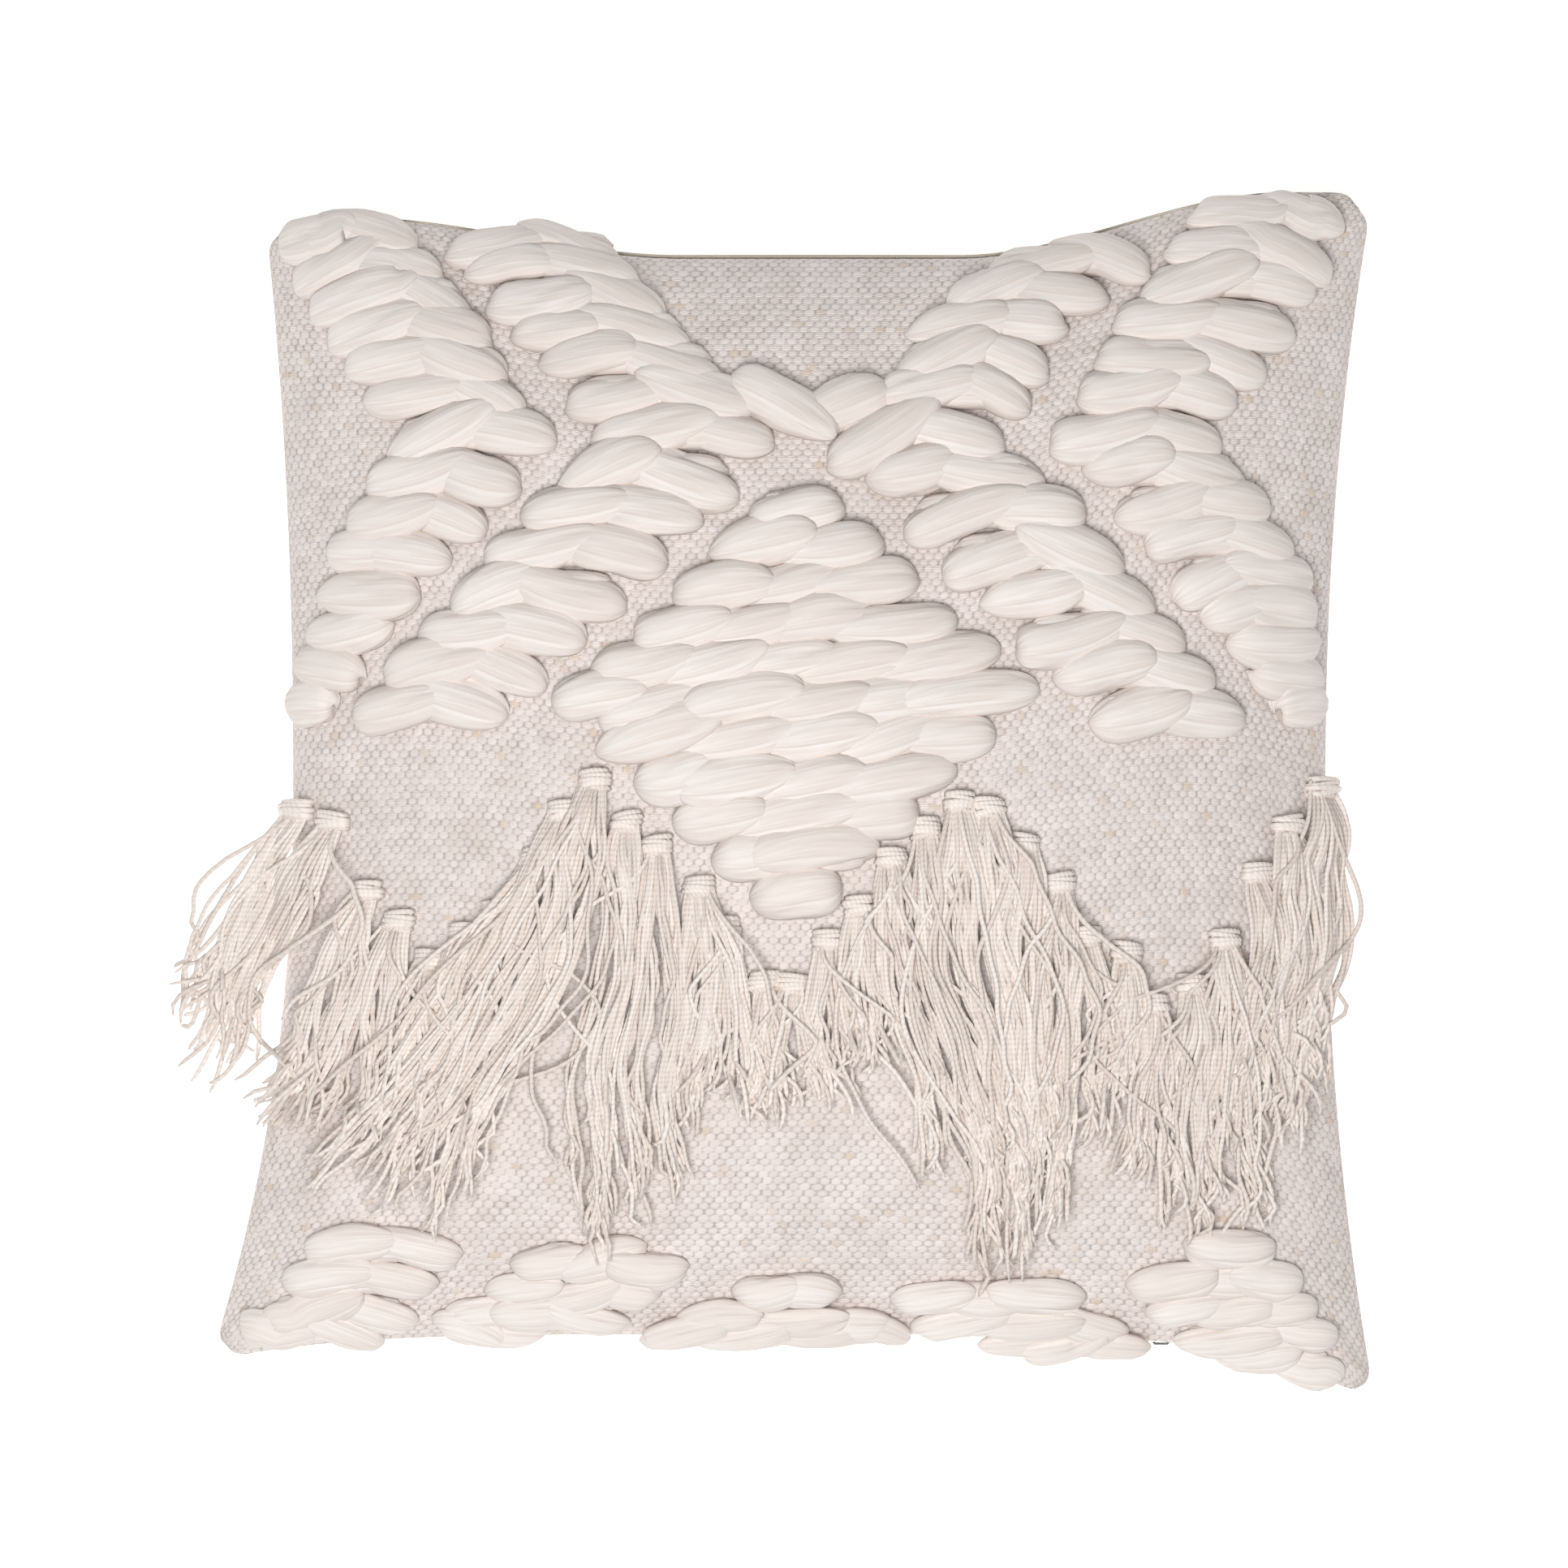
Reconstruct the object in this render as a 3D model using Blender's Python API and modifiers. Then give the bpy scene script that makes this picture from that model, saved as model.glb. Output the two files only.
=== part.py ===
"""Throw pillow: a woven cotton cover with roving motifs and tassels, a zip, and a filled insert.

It lies on its back. +Z points up out of the front face, +Y is the top edge, +X is the right edge, and
the origin is in the middle of the flat patch that it rests on. All sizes are in metres.
"""

import math

import bmesh
import bpy
import numpy as np

# The seam outline: where the middle of each edge lies, and how far each corner is drawn out past it.
LEFT, RIGHT, BOTTOM, TOP = -0.198, 0.209, -0.215, 0.211
DRAWN_TOP_LEFT = (0.007, 0.016)
DRAWN_TOP_RIGHT = (0.015, 0.026)
DRAWN_BOTTOM_LEFT = (0.028, 0.006)
DRAWN_BOTTOM_RIGHT = (0.015, 0.020)
# The share of each edge that is straight before it curves out to its corners.
STRAIGHT_SIDE, STRAIGHT_TOP, STRAIGHT_ZIP = 0.0, 0.2, 0.72

# The cross-section: the seam's height, the upright lip beside it, and the crown on each face.
SEAM_HEIGHT = 0.062
LIP = 0.004
FRONT_CROWN = 0.070
BACK_CROWN = 0.078
CROWN_FULLNESS = 0.5
SEAM_GAP = 0.0004
CELLS = 14

# The layers of cloth, from the outside in.
FRONT_CLOTH = 0.002
BACK_CLOTH = 0.0012
CASING_CLOTH = 0.0008
LAYER_CLEARANCE = 0.002
EDGE_CLEARANCE = 0.0035
# How far the inner layers reach into the drawn-out corners, as a share of the cover's.
INSERT_CORNERS, FILL_CORNERS = 0.5, 0.3

# The zip in the bottom seam.
ZIP_LENGTH = 0.300
ZIP_OPENING = 0.0064
ZIP_OPENING_END = 0.9
TAPE_WIDTH, TAPE_THICKNESS = 0.010, 0.0006
COIL_WIDTH, COIL_HEIGHT = 0.0018, 0.0013
STOP_LENGTH = 0.003
SLIDER_LENGTH, SLIDER_WALL = 0.009, 0.0009
SLIDER_WIDTH = 0.008
BRIDGE_DIAMETER, BRIDGE_SPAN = 0.0011, 0.007
BRIDGE_WINDOW = 0.0018
PULL_LENGTH, PULL_WIDTH, PULL_THICKNESS = 0.024, 0.005, 0.0009
FIT = 0.0003

# The roving: its thickness, the distance between rows along the cloth, and its gap to the cloth.
ROVING_DIAMETER = 0.0126
ROW_PITCH = 0.0146
ROVING_LIFT = 0.0020
ROVING_STEP = 0.030
SEAM_MARGIN = 0.004
SHORTEST_ROW = 0.012
# A row's place is found by walking up the cloth in this many steps, at this many places along the row.
LEVEL_STEPS, LEVEL_COLUMNS = 200, 5
# A plan position's u and v are found by this many corrections, and the cloth droops past this u or v.
CORRECTIONS, LAST_SHARE = 20, 0.985

# Each row of roving is (y, left end, right end). An arm runs from its first row to its last.
CHEVRON_ARMS = {
    "roving_inner_left_upper": ((0.156, -0.088, -0.017), (0.216, -0.136, -0.070)),
    "roving_inner_left_lower": ((0.140, -0.078, -0.008), (0.034, -0.173, -0.112)),
    "roving_inner_right_upper": ((0.156, 0.032, 0.092), (0.221, 0.080, 0.146)),
    "roving_inner_right_lower": ((0.140, 0.012, 0.080), (0.032, 0.114, 0.176)),
    "roving_outer_left_upper": ((0.156, -0.170, -0.105), (0.222, -0.203, -0.150)),
    "roving_outer_left_lower": ((0.140, -0.160, -0.094), (0.034, -0.212, -0.176)),
    "roving_outer_right_upper": ((0.156, 0.110, 0.172), (0.226, 0.158, 0.218)),
    "roving_outer_right_lower": ((0.140, 0.098, 0.166), (0.032, 0.188, 0.222)),
}
LINK_ROW = (0.157, -0.013, 0.028)
DIAMOND_TOP = 0.110
DIAMOND_HALF_WIDTHS = (0.019, 0.034, 0.049, 0.064, 0.080, 0.094, 0.078, 0.063, 0.048, 0.033, 0.018)
# Each half diamond on the hem is (centre, half widths of its rows from the seam upwards).
HEM_MOTIFS = (
    (-0.176, (0.038, 0.036, 0.028, 0.018)),
    (-0.092, (0.040, 0.034, 0.022)),
    (-0.008, (0.040, 0.030, 0.017)),
    (0.086, (0.040, 0.034, 0.022)),
    (0.176, (0.038, 0.036, 0.028, 0.018)),
)
HEM_FIRST_ROW, HEM_REACH = 0.0075, 0.1

# The tassels' knots stand on a zigzag line from side to side, as (share of the width, y). Length and
# sideways sweep change evenly between these (share of the width, length, sweep).
TASSEL_COUNT = 32
TASSEL_LINE = (
    (0.012, 0.003),
    (0.140, -0.066),
    (0.297, 0.009),
    (0.477, -0.074),
    (0.656, 0.008),
    (0.843, -0.078),
    (0.990, 0.005),
)
TASSEL_SHAPES = (
    (0.012, 0.078, -0.049),
    (0.044, 0.100, -0.044),
    (0.140, 0.085, -0.034),
    (0.216, 0.105, -0.032),
    (0.278, 0.150, -0.030),
    (0.329, 0.158, -0.010),
    (0.413, 0.095, 0.000),
    (0.477, 0.042, 0.000),
    (0.550, 0.100, 0.003),
    (0.656, 0.168, 0.010),
    (0.744, 0.135, 0.010),
    (0.843, 0.090, 0.004),
    (0.916, 0.120, 0.006),
    (0.990, 0.120, 0.010),
)
TASSEL_DIAMETER, TASSEL_NECK = 0.0096, 0.0074
TASSEL_KNOT = 0.009
# The skirt starts this far below the knot's top, and bends sideways as this power of the way down.
TASSEL_SKIRT, TASSEL_BEND = 0.0198, 1.4
TASSEL_POINTS = 6
TASSEL_DROOP = 4.0

# Colours, linear red, green and blue, and each material's roughness and metallic value.
WEAVE_COLOUR = (0.76, 0.69, 0.65)
BACK_COLOUR = (0.74, 0.68, 0.62)
CASING_COLOUR = (0.86, 0.86, 0.84)
FILL_COLOUR = (0.90, 0.90, 0.88)
ROVING_COLOUR = (0.90, 0.85, 0.79)
TASSEL_COLOUR = (0.72, 0.65, 0.59)
TAPE_COLOUR = (0.78, 0.73, 0.67)
COIL_COLOUR = (0.70, 0.65, 0.58)
METAL_COLOUR = (0.62, 0.60, 0.56)

CLOTH = {"roughness": 0.95, "metallic": 0.0}
NYLON = {"roughness": 0.45, "metallic": 0.0}
METAL = {"roughness": 0.35, "metallic": 1.0}


def clear_scene():
    """Empties the scene."""
    for obj in list(bpy.data.objects):
        bpy.data.objects.remove(obj, do_unlink=True)


def new_collection(name):
    collection = bpy.data.collections.new(name)
    bpy.context.scene.collection.children.link(collection)
    return collection


def give_material(obj, colour, roughness, metallic):
    """The piece's own Principled material."""
    material = bpy.data.materials.new(obj.name)
    material.use_nodes = True
    shader = material.node_tree.nodes["Principled BSDF"]
    shader.inputs["Base Color"].default_value = (*colour, 1.0)
    shader.inputs["Roughness"].default_value = roughness
    shader.inputs["Metallic"].default_value = metallic
    obj.data.materials.clear()
    obj.data.materials.append(material)


def drawn_out(along, straight):
    """How far out an edge lies at this share of its length: 0 on the straight part, 1 at a corner."""
    past = np.clip((np.abs(along) - straight) / (1 - straight), 0, 1)
    return past**2


def outline_point(u, v, inset=0.0, zip_inset=0.0, corners=1.0):
    """The plan position of the cloth at u and v, which run from -1 to 1 across and up the cover."""
    side = drawn_out(v, STRAIGHT_SIDE) * corners
    left = LEFT + inset - side * np.where(v > 0, DRAWN_TOP_LEFT[0], DRAWN_BOTTOM_LEFT[0])
    right = RIGHT - inset + side * np.where(v > 0, DRAWN_TOP_RIGHT[0], DRAWN_BOTTOM_RIGHT[0])
    rise = drawn_out(u, STRAIGHT_TOP) * np.where(u > 0, DRAWN_TOP_RIGHT[1], DRAWN_TOP_LEFT[1])
    drop = drawn_out(u, STRAIGHT_ZIP) * np.where(u > 0, DRAWN_BOTTOM_RIGHT[1], DRAWN_BOTTOM_LEFT[1])
    top = TOP - inset + rise * corners
    bottom = BOTTOM + inset + zip_inset - drop * corners
    x = left + (right - left) * (u + 1) / 2
    y = bottom + (top - bottom) * (v + 1) / 2
    return x, y


def crown(u, v):
    """The swell of the cloth: 0 at the seam and 1 in the middle."""
    return np.maximum((1 - u**2) * (1 - v**2), 0) ** CROWN_FULLNESS


def front_height(u, v, depth=0.0):
    return SEAM_HEIGHT + LIP + (FRONT_CROWN - depth) * crown(u, v)


def back_height(u, v, depth=0.0):
    """The back's swell, flat where it lies on what the pillow rests on."""
    return np.maximum(SEAM_HEIGHT - LIP - (BACK_CROWN - depth) * crown(u, v), depth)


def zip_gap(u, v):
    """Half the gap between the panels: the zip's opening along the bottom edge, closed elsewhere."""
    past = np.clip((ZIP_OPENING_END - np.abs(u)) / (ZIP_OPENING_END - STRAIGHT_ZIP), 0, 1)
    return SEAM_GAP / 2 + np.where(v < -1 + 1e-6, past * (ZIP_OPENING - SEAM_GAP) / 2, 0)


def add_side(mesh, front, inset=0.0, zip_inset=0.0, corners=1.0, depth=0.0, gap=None):
    """One face of a layer, as a grid whose outer ring of cells is the upright lip at the seam."""
    made = bmesh.ops.create_grid(mesh, x_segments=CELLS + 2, y_segments=CELLS + 2, size=1.0)["verts"]
    for vertex in made:
        column, row = (round((c + 1) / 2 * (CELLS + 2)) for c in vertex.co.xy)
        cells = (min(max(i - 1, 0), CELLS) for i in (column, row))
        u, v = (math.sin(math.pi / 2 * (cell / CELLS * 2 - 1)) for cell in cells)
        x, y = outline_point(u, v, inset, zip_inset, corners)
        on_rim = column in (0, CELLS + 2) or row in (0, CELLS + 2)
        rim_gap = gap(u, v) if gap else 0.0
        if front:
            z = SEAM_HEIGHT + rim_gap if on_rim else front_height(u, v, depth)
        else:
            z = SEAM_HEIGHT - rim_gap if on_rim else back_height(u, v, depth)
        vertex.co = (x, y, z)
    if not front:
        faces = {face for vertex in made for face in vertex.link_faces}
        bmesh.ops.reverse_faces(mesh, faces=list(faces))


def finish_mesh(name, mesh, collection):
    """Turns the mesh into an object, with doubled points joined."""
    bmesh.ops.remove_doubles(mesh, verts=mesh.verts, dist=1e-6)
    data = bpy.data.meshes.new(name)
    mesh.to_mesh(data)
    mesh.free()
    data.shade_smooth()
    obj = bpy.data.objects.new(name, data)
    collection.objects.link(obj)
    return obj


def add_cloth_half(name, collection, front, thickness, colour, **layer):
    """One half of a cover or casing: the outer face, thickened inwards."""
    mesh = bmesh.new()
    add_side(mesh, front, **layer)
    obj = finish_mesh(name, mesh, collection)
    wall = obj.modifiers.new("Cloth", "SOLIDIFY")
    wall.thickness = thickness
    wall.offset = -1
    give_material(obj, colour, **CLOTH)


def add_cover_and_insert(collection):
    """The cover's two panels, the casing's two halves inside them, and the fill inside the casing."""
    add_cloth_half("front_panel", collection, True, FRONT_CLOTH, WEAVE_COLOUR, gap=zip_gap)
    add_cloth_half("back_panel", collection, False, BACK_CLOTH, BACK_COLOUR, gap=zip_gap)
    casing = {
        "inset": FRONT_CLOTH + EDGE_CLEARANCE,
        "zip_inset": TAPE_WIDTH + LAYER_CLEARANCE,
        "corners": INSERT_CORNERS,
        "depth": FRONT_CLOTH + LAYER_CLEARANCE,
    }
    closed_seam = {"gap": lambda u, v: SEAM_GAP / 2}
    for name, front in (("insert_casing_front", True), ("insert_casing_back", False)):
        add_cloth_half(name, collection, front, CASING_CLOTH, CASING_COLOUR, **casing, **closed_seam)
    fill = {
        "inset": casing["inset"] + CASING_CLOTH + LAYER_CLEARANCE / 2,
        "zip_inset": casing["zip_inset"] + LAYER_CLEARANCE / 2,
        "corners": FILL_CORNERS,
        "depth": casing["depth"] + CASING_CLOTH + LAYER_CLEARANCE / 2,
    }
    mesh = bmesh.new()
    add_side(mesh, True, **fill)
    add_side(mesh, False, **fill)
    give_material(finish_mesh("insert_fill", mesh, collection), FILL_COLOUR, **CLOTH)


def cloth_place(x, y):
    """The u and v of a plan position, found by repeated correction."""
    u, v = np.zeros_like(x), np.zeros_like(y)
    for _ in range(CORRECTIONS):
        at_x, at_y = outline_point(u, v)
        u = u + (x - at_x) * 2 / (RIGHT - LEFT)
        v = v + (y - at_y) * 2 / (TOP - BOTTOM)
    return u, v


def front_at(x, y):
    """The height of the front face at plan positions, drooping on past the edge of the cover."""
    u, v = cloth_place(np.asarray(x, float), np.asarray(y, float))
    inside_u, inside_v = (np.clip(share, -LAST_SHARE, LAST_SHARE) for share in (u, v))
    past = np.hypot(u - inside_u, v - inside_v) * (RIGHT - LEFT) / 2
    return front_height(inside_u, inside_v) - TASSEL_DROOP * past**2


def lifted(x, y, lift):
    """Points above the front face, by this distance along its normal."""
    step = 0.001
    slope_x = (front_at(x + step, y) - front_at(x - step, y)) / (2 * step)
    slope_y = (front_at(x, y + step) - front_at(x, y - step)) / (2 * step)
    normal = np.stack([-slope_x, -slope_y, np.ones_like(slope_x)], axis=-1)
    normal /= np.linalg.norm(normal, axis=-1, keepdims=True)
    return np.stack([x, y, front_at(x, y)], axis=-1) + lift * normal


def add_tube(name, collection, points, diameter, colour, resolution, radii=None):
    """A tube through the points, with flat closed ends."""
    data = bpy.data.curves.new(name, "CURVE")
    data.dimensions = "3D"
    data.bevel_depth = diameter / 2
    data.bevel_resolution = resolution
    data.use_fill_caps = True
    spline = data.splines.new("POLY")
    spline.points.add(len(points) - 1)
    for i, (place, point) in enumerate(zip(points, spline.points)):
        point.co = (*place, 1.0)
        point.radius = radii[i] if radii is not None else 1.0
    obj = bpy.data.objects.new(name, data)
    collection.objects.link(obj)
    give_material(obj, colour, **CLOTH)


def row_levels(left, right, start, end):
    """The y of each row from start towards end, at least a row's pitch apart all along the rows."""
    y = np.linspace(start, end, LEVEL_STEPS)
    steps = []
    for x in np.linspace(left, right, LEVEL_COLUMNS):
        z = front_at(np.full_like(y, x), y)
        steps.append(np.hypot(np.diff(y), np.diff(z)))
    walked = np.concatenate([[0], np.cumsum(np.min(steps, axis=0))])
    return np.interp(np.arange(0, walked[-1], ROW_PITCH), walked, y)


def side_limits(y):
    """How far left and right the middle of a roving row may reach at this y."""
    v = cloth_place(np.array([0.0]), np.array([y]))[1]
    keep = SEAM_MARGIN + ROVING_DIAMETER / 2
    left, right = (float(outline_point(np.array([u]), v)[0][0]) for u in (-1.0, 1.0))
    return left + keep, right - keep


def serpentine(rows):
    """Plan points along the rows, left to right on one and right to left on the next.

    Two rows that are joined by a turn both end at the mean of their ends, so that the turn is square.
    """
    rows = [list(row) for row in rows]
    for i in range(len(rows) - 1):
        end = 2 if i % 2 == 0 else 1
        rows[i][end] = rows[i + 1][end] = (rows[i][end] + rows[i + 1][end]) / 2
    points = []
    for i, (y, left, right) in enumerate(rows):
        count = max(2, math.ceil((right - left) / ROVING_STEP) + 1)
        along = np.linspace(left, right, count)
        points += [(x, y) for x in (along if i % 2 == 0 else along[::-1])]
    return np.array(points)


def add_roving(name, collection, rows):
    """One length of roving laid to and fro along the rows, each given by its outer ends."""
    inner = []
    for y, left, right in rows:
        lowest, highest = side_limits(y)
        left = max(left + ROVING_DIAMETER / 2, lowest)
        right = min(right - ROVING_DIAMETER / 2, highest)
        if right - left < SHORTEST_ROW and right >= highest:
            left = right - SHORTEST_ROW
        right = max(right, left + SHORTEST_ROW)
        inner.append((y, left, right))
    x, y = serpentine(inner).T
    points = lifted(x, y, ROVING_DIAMETER / 2 + ROVING_LIFT)
    add_tube(name, collection, points, ROVING_DIAMETER, ROVING_COLOUR, resolution=2)


def add_chevrons(collection):
    """The eight arms of the four chevrons, and the link between the inner two."""
    for name, (first, last) in CHEVRON_ARMS.items():
        y = row_levels(min(first[1], last[1]), max(first[2], last[2]), first[0], last[0])
        share = (y - first[0]) / (last[0] - first[0])
        left, right = (first[i] + share * (last[i] - first[i]) for i in (1, 2))
        add_roving(name, collection, list(zip(y, left, right)))
    add_roving("roving_centre_link", collection, [LINK_ROW])


def add_diamond(collection):
    lowest = DIAMOND_TOP - len(DIAMOND_HALF_WIDTHS) * ROW_PITCH
    y = row_levels(0.0, 0.0, DIAMOND_TOP, lowest)
    rows = [(level, -half, half) for level, half in zip(y, DIAMOND_HALF_WIDTHS)]
    add_roving("roving_centre_diamond", collection, rows)


def add_hem_motifs(collection):
    """The half diamonds whose lowest rows lie along the bottom seam."""
    for i, (centre, half_widths) in enumerate(HEM_MOTIFS, start=1):
        u = cloth_place(np.array([centre]), np.array([BOTTOM]))[0]
        seam = float(outline_point(u, np.array([-1.0]))[1][0])
        y = row_levels(centre, centre, seam + HEM_FIRST_ROW, seam + HEM_REACH)
        rows = [(level, centre - half, centre + half) for level, half in zip(y, half_widths)]
        add_roving(f"roving_hem_{i}", collection, rows)


def add_tassels(collection):
    """Each tassel is a knot, a neck and a skirt that lies down the cloth."""
    line = np.array(TASSEL_LINE)
    shapes = np.array(TASSEL_SHAPES)
    for i, share in enumerate(np.linspace(line[0, 0], line[-1, 0], TASSEL_COUNT), start=1):
        x = LEFT + share * (RIGHT - LEFT)
        knot = np.interp(share, line[:, 0], line[:, 1])
        length, sweep = (np.interp(share, shapes[:, 0], shapes[:, column]) for column in (1, 2))
        skirt = np.linspace(TASSEL_SKIRT / length, 1, TASSEL_POINTS - 2)
        along = np.concatenate([[0, TASSEL_KNOT / length], skirt])
        lift = TASSEL_DIAMETER / 2 + ROVING_LIFT
        points = lifted(x + sweep * along**TASSEL_BEND, knot - length * along, lift)
        name = f"tassel_{i:02d}"
        neck = TASSEL_NECK / TASSEL_DIAMETER
        radii = [1.0, neck] + [1.0] * (TASSEL_POINTS - 3) + [neck]
        add_tube(name, collection, points, TASSEL_DIAMETER, TASSEL_COLOUR, resolution=1, radii=radii)


def add_box(name, collection, low, high, colour, finish):
    """A block between two corners."""
    bpy.ops.mesh.primitive_cube_add(size=1.0)
    obj = bpy.context.object
    obj.name = obj.data.name = name
    obj.location = [(a + b) / 2 for a, b in zip(low, high)]
    size = [b - a for a, b in zip(low, high)]
    for vertex in obj.data.vertices:
        vertex.co = [c * s for c, s in zip(vertex.co, size)]
    for holder in obj.users_collection:
        holder.objects.unlink(obj)
    collection.objects.link(obj)
    give_material(obj, colour, **finish)
    return obj


def flat_outline(name, loops, thickness):
    """A flat outline with holes, thickened both ways about its own XY plane."""
    data = bpy.data.curves.new(name, "CURVE")
    data.dimensions = "2D"
    data.fill_mode = "BOTH"
    data.extrude = thickness / 2
    for loop in loops:
        spline = data.splines.new("POLY")
        spline.points.add(len(loop) - 1)
        for place, point in zip(loop, spline.points):
            point.co = (*place, 0.0, 1.0)
        spline.use_cyclic_u = True
    return bpy.data.objects.new(name, data)


def as_mesh(obj, collection):
    """The same shape as a mesh with its caps welded, for the Boolean."""
    collection.objects.link(obj)
    bpy.context.view_layer.update()
    evaluated = obj.evaluated_get(bpy.context.evaluated_depsgraph_get())
    data = bpy.data.meshes.new_from_object(evaluated)
    mesh = bmesh.new()
    mesh.from_mesh(data)
    bmesh.ops.remove_doubles(mesh, verts=mesh.verts, dist=1e-6)
    mesh.to_mesh(data)
    mesh.free()
    name, place = obj.name, obj.matrix_world.copy()
    bpy.data.objects.remove(obj, do_unlink=True)
    data.name = name
    made = bpy.data.objects.new(name, data)
    made.matrix_world = place
    collection.objects.link(made)
    return made


def round_end(centre, radius, start, steps=8):
    """Points of a half circle, counter-clockwise from the start angle."""
    angles = start + np.linspace(0, math.pi, steps)
    return [(centre + radius * math.cos(a), radius * math.sin(a)) for a in angles]


def add_zip(collection, cutters):
    """The tapes, coils and stops inside the seam, the slider that rides on the coils, and its pull."""
    half = ZIP_LENGTH / 2
    coil_back = BOTTOM + FRONT_CLOTH + FIT
    coil_front = coil_back - COIL_WIDTH
    for side, sign in (("front", 1), ("back", -1)):
        levels = sorted((SEAM_HEIGHT + sign * FIT / 2, SEAM_HEIGHT + sign * (FIT / 2 + COIL_HEIGHT)))
        low, high = (-half, coil_front, levels[0]), (half, coil_back, levels[1])
        add_box(f"zipper_coil_{side}", collection, low, high, COIL_COLOUR, NYLON)
        levels = sorted((SEAM_HEIGHT + sign * FIT, SEAM_HEIGHT + sign * (FIT + TAPE_THICKNESS)))
        low = (-half - 2 * STOP_LENGTH, coil_back + FIT, levels[0])
        high = (half + 2 * STOP_LENGTH, coil_back + FIT + TAPE_WIDTH, levels[1])
        add_box(f"zipper_tape_{side}", collection, low, high, TAPE_COLOUR, CLOTH)
    reach = COIL_HEIGHT + FIT
    for side, sign in (("left", -1), ("right", 1)):
        ends = sorted((sign * (half + FIT), sign * (half + FIT + STOP_LENGTH)))
        low = (ends[0], coil_front, SEAM_HEIGHT - reach)
        high = (ends[1], coil_back, SEAM_HEIGHT + reach)
        add_box(f"zipper_stop_{side}", collection, low, high, METAL_COLOUR, METAL)

    # The slider wraps round the coils: an outer plate, two flanges, and hooks behind the coils.
    closed_x = half - SLIDER_LENGTH / 2 - 2 * FIT
    flange = reach + FIT
    plate_inner = BOTTOM - 2 * FIT
    plate_outer = plate_inner - SLIDER_WALL
    hook = coil_back + 2 * FIT
    hook_tip = 2 * FIT + TAPE_THICKNESS
    upper = [
        (plate_outer, SLIDER_WIDTH / 2),
        (plate_inner, SLIDER_WIDTH / 2),
        (plate_inner, flange + SLIDER_WALL),
        (hook + SLIDER_WALL, flange + SLIDER_WALL),
        (hook + SLIDER_WALL, hook_tip),
        (hook, hook_tip),
        (hook, flange),
        (plate_inner, flange),
    ]
    outline = upper + [(y, -z) for y, z in upper[::-1]]
    slider = flat_outline("zipper_slider", [outline], SLIDER_LENGTH)
    # The outline's own X and Y become the world's Y and Z, and it is as long as the slider along X.
    slider.rotation_euler = (math.pi / 2, 0, math.pi / 2)
    slider.location = (closed_x, 0, SEAM_HEIGHT)
    slider = as_mesh(slider, collection)

    # The bridge is a bent wire over the plate, and the pull's end bar lies under it.
    bar = plate_outer - BRIDGE_WINDOW - BRIDGE_DIAMETER / 2
    foot = plate_outer + SLIDER_WALL / 2
    bend = BRIDGE_DIAMETER
    bridge = bpy.data.curves.new("bridge_wire", "CURVE")
    bridge.dimensions = "3D"
    bridge.bevel_depth = BRIDGE_DIAMETER / 2
    bridge.bevel_resolution = 2
    bridge.use_fill_caps = True
    side = [(BRIDGE_SPAN / 2, foot), (BRIDGE_SPAN / 2, bar + bend), (BRIDGE_SPAN / 2 - bend, bar)]
    route = side + [(-x, y) for x, y in side[::-1]]
    spline = bridge.splines.new("POLY")
    spline.points.add(len(route) - 1)
    for (x, y), point in zip(route, spline.points):
        point.co = (closed_x + x, y, SEAM_HEIGHT, 1.0)
    wire = as_mesh(bpy.data.objects.new("bridge_wire", bridge), cutters)
    wire.hide_render = True
    wire.display_type = "WIRE"
    join = slider.modifiers.new("Bridge", "BOOLEAN")
    join.operation = "UNION"
    join.object = wire
    give_material(slider, METAL_COLOUR, **METAL)

    # The pull swings on its end bar, about an upright axis. Its window clears the bridge's foot.
    pin = plate_outer - BRIDGE_WINDOW / 2
    end_bar = PULL_THICKNESS / 2
    window = BRIDGE_SPAN / 2 + BRIDGE_DIAMETER / 2 + 3 * FIT
    window_half = BRIDGE_DIAMETER / 2 + 2 * FIT
    far = PULL_LENGTH - PULL_WIDTH / 2
    half_width = PULL_WIDTH / 2
    rounded = round_end(far, half_width, -math.pi / 2)
    outer = [(-end_bar, -half_width)] + rounded + [(-end_bar, half_width)]
    inner = [(end_bar, -window_half), (window, -window_half), (window, window_half), (end_bar, window_half)]
    pull = flat_outline("zipper_pull", [outer, inner], PULL_THICKNESS)
    # At rest the pull lies back along the closed zip, towards -X.
    pull.rotation_euler = (math.pi / 2, 0, math.pi)
    pull.location = (closed_x, pin, SEAM_HEIGHT)
    collection.objects.link(pull)
    give_material(pull, METAL_COLOUR, **METAL)


clear_scene()
pillow = new_collection("throw_pillow")
helpers = new_collection("cutters")
add_cover_and_insert(pillow)
add_zip(pillow, helpers)
add_chevrons(pillow)
add_diamond(pillow)
add_hem_motifs(pillow)
add_tassels(pillow)
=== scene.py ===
"""The looks of a throw pillow: a handwoven cover with roving motifs and yarn tassels, a zip and an insert.

The pillow lies on its back. +Z points out of the front face, +Y is its top edge and +X its right edge.
"""

import math

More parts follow.
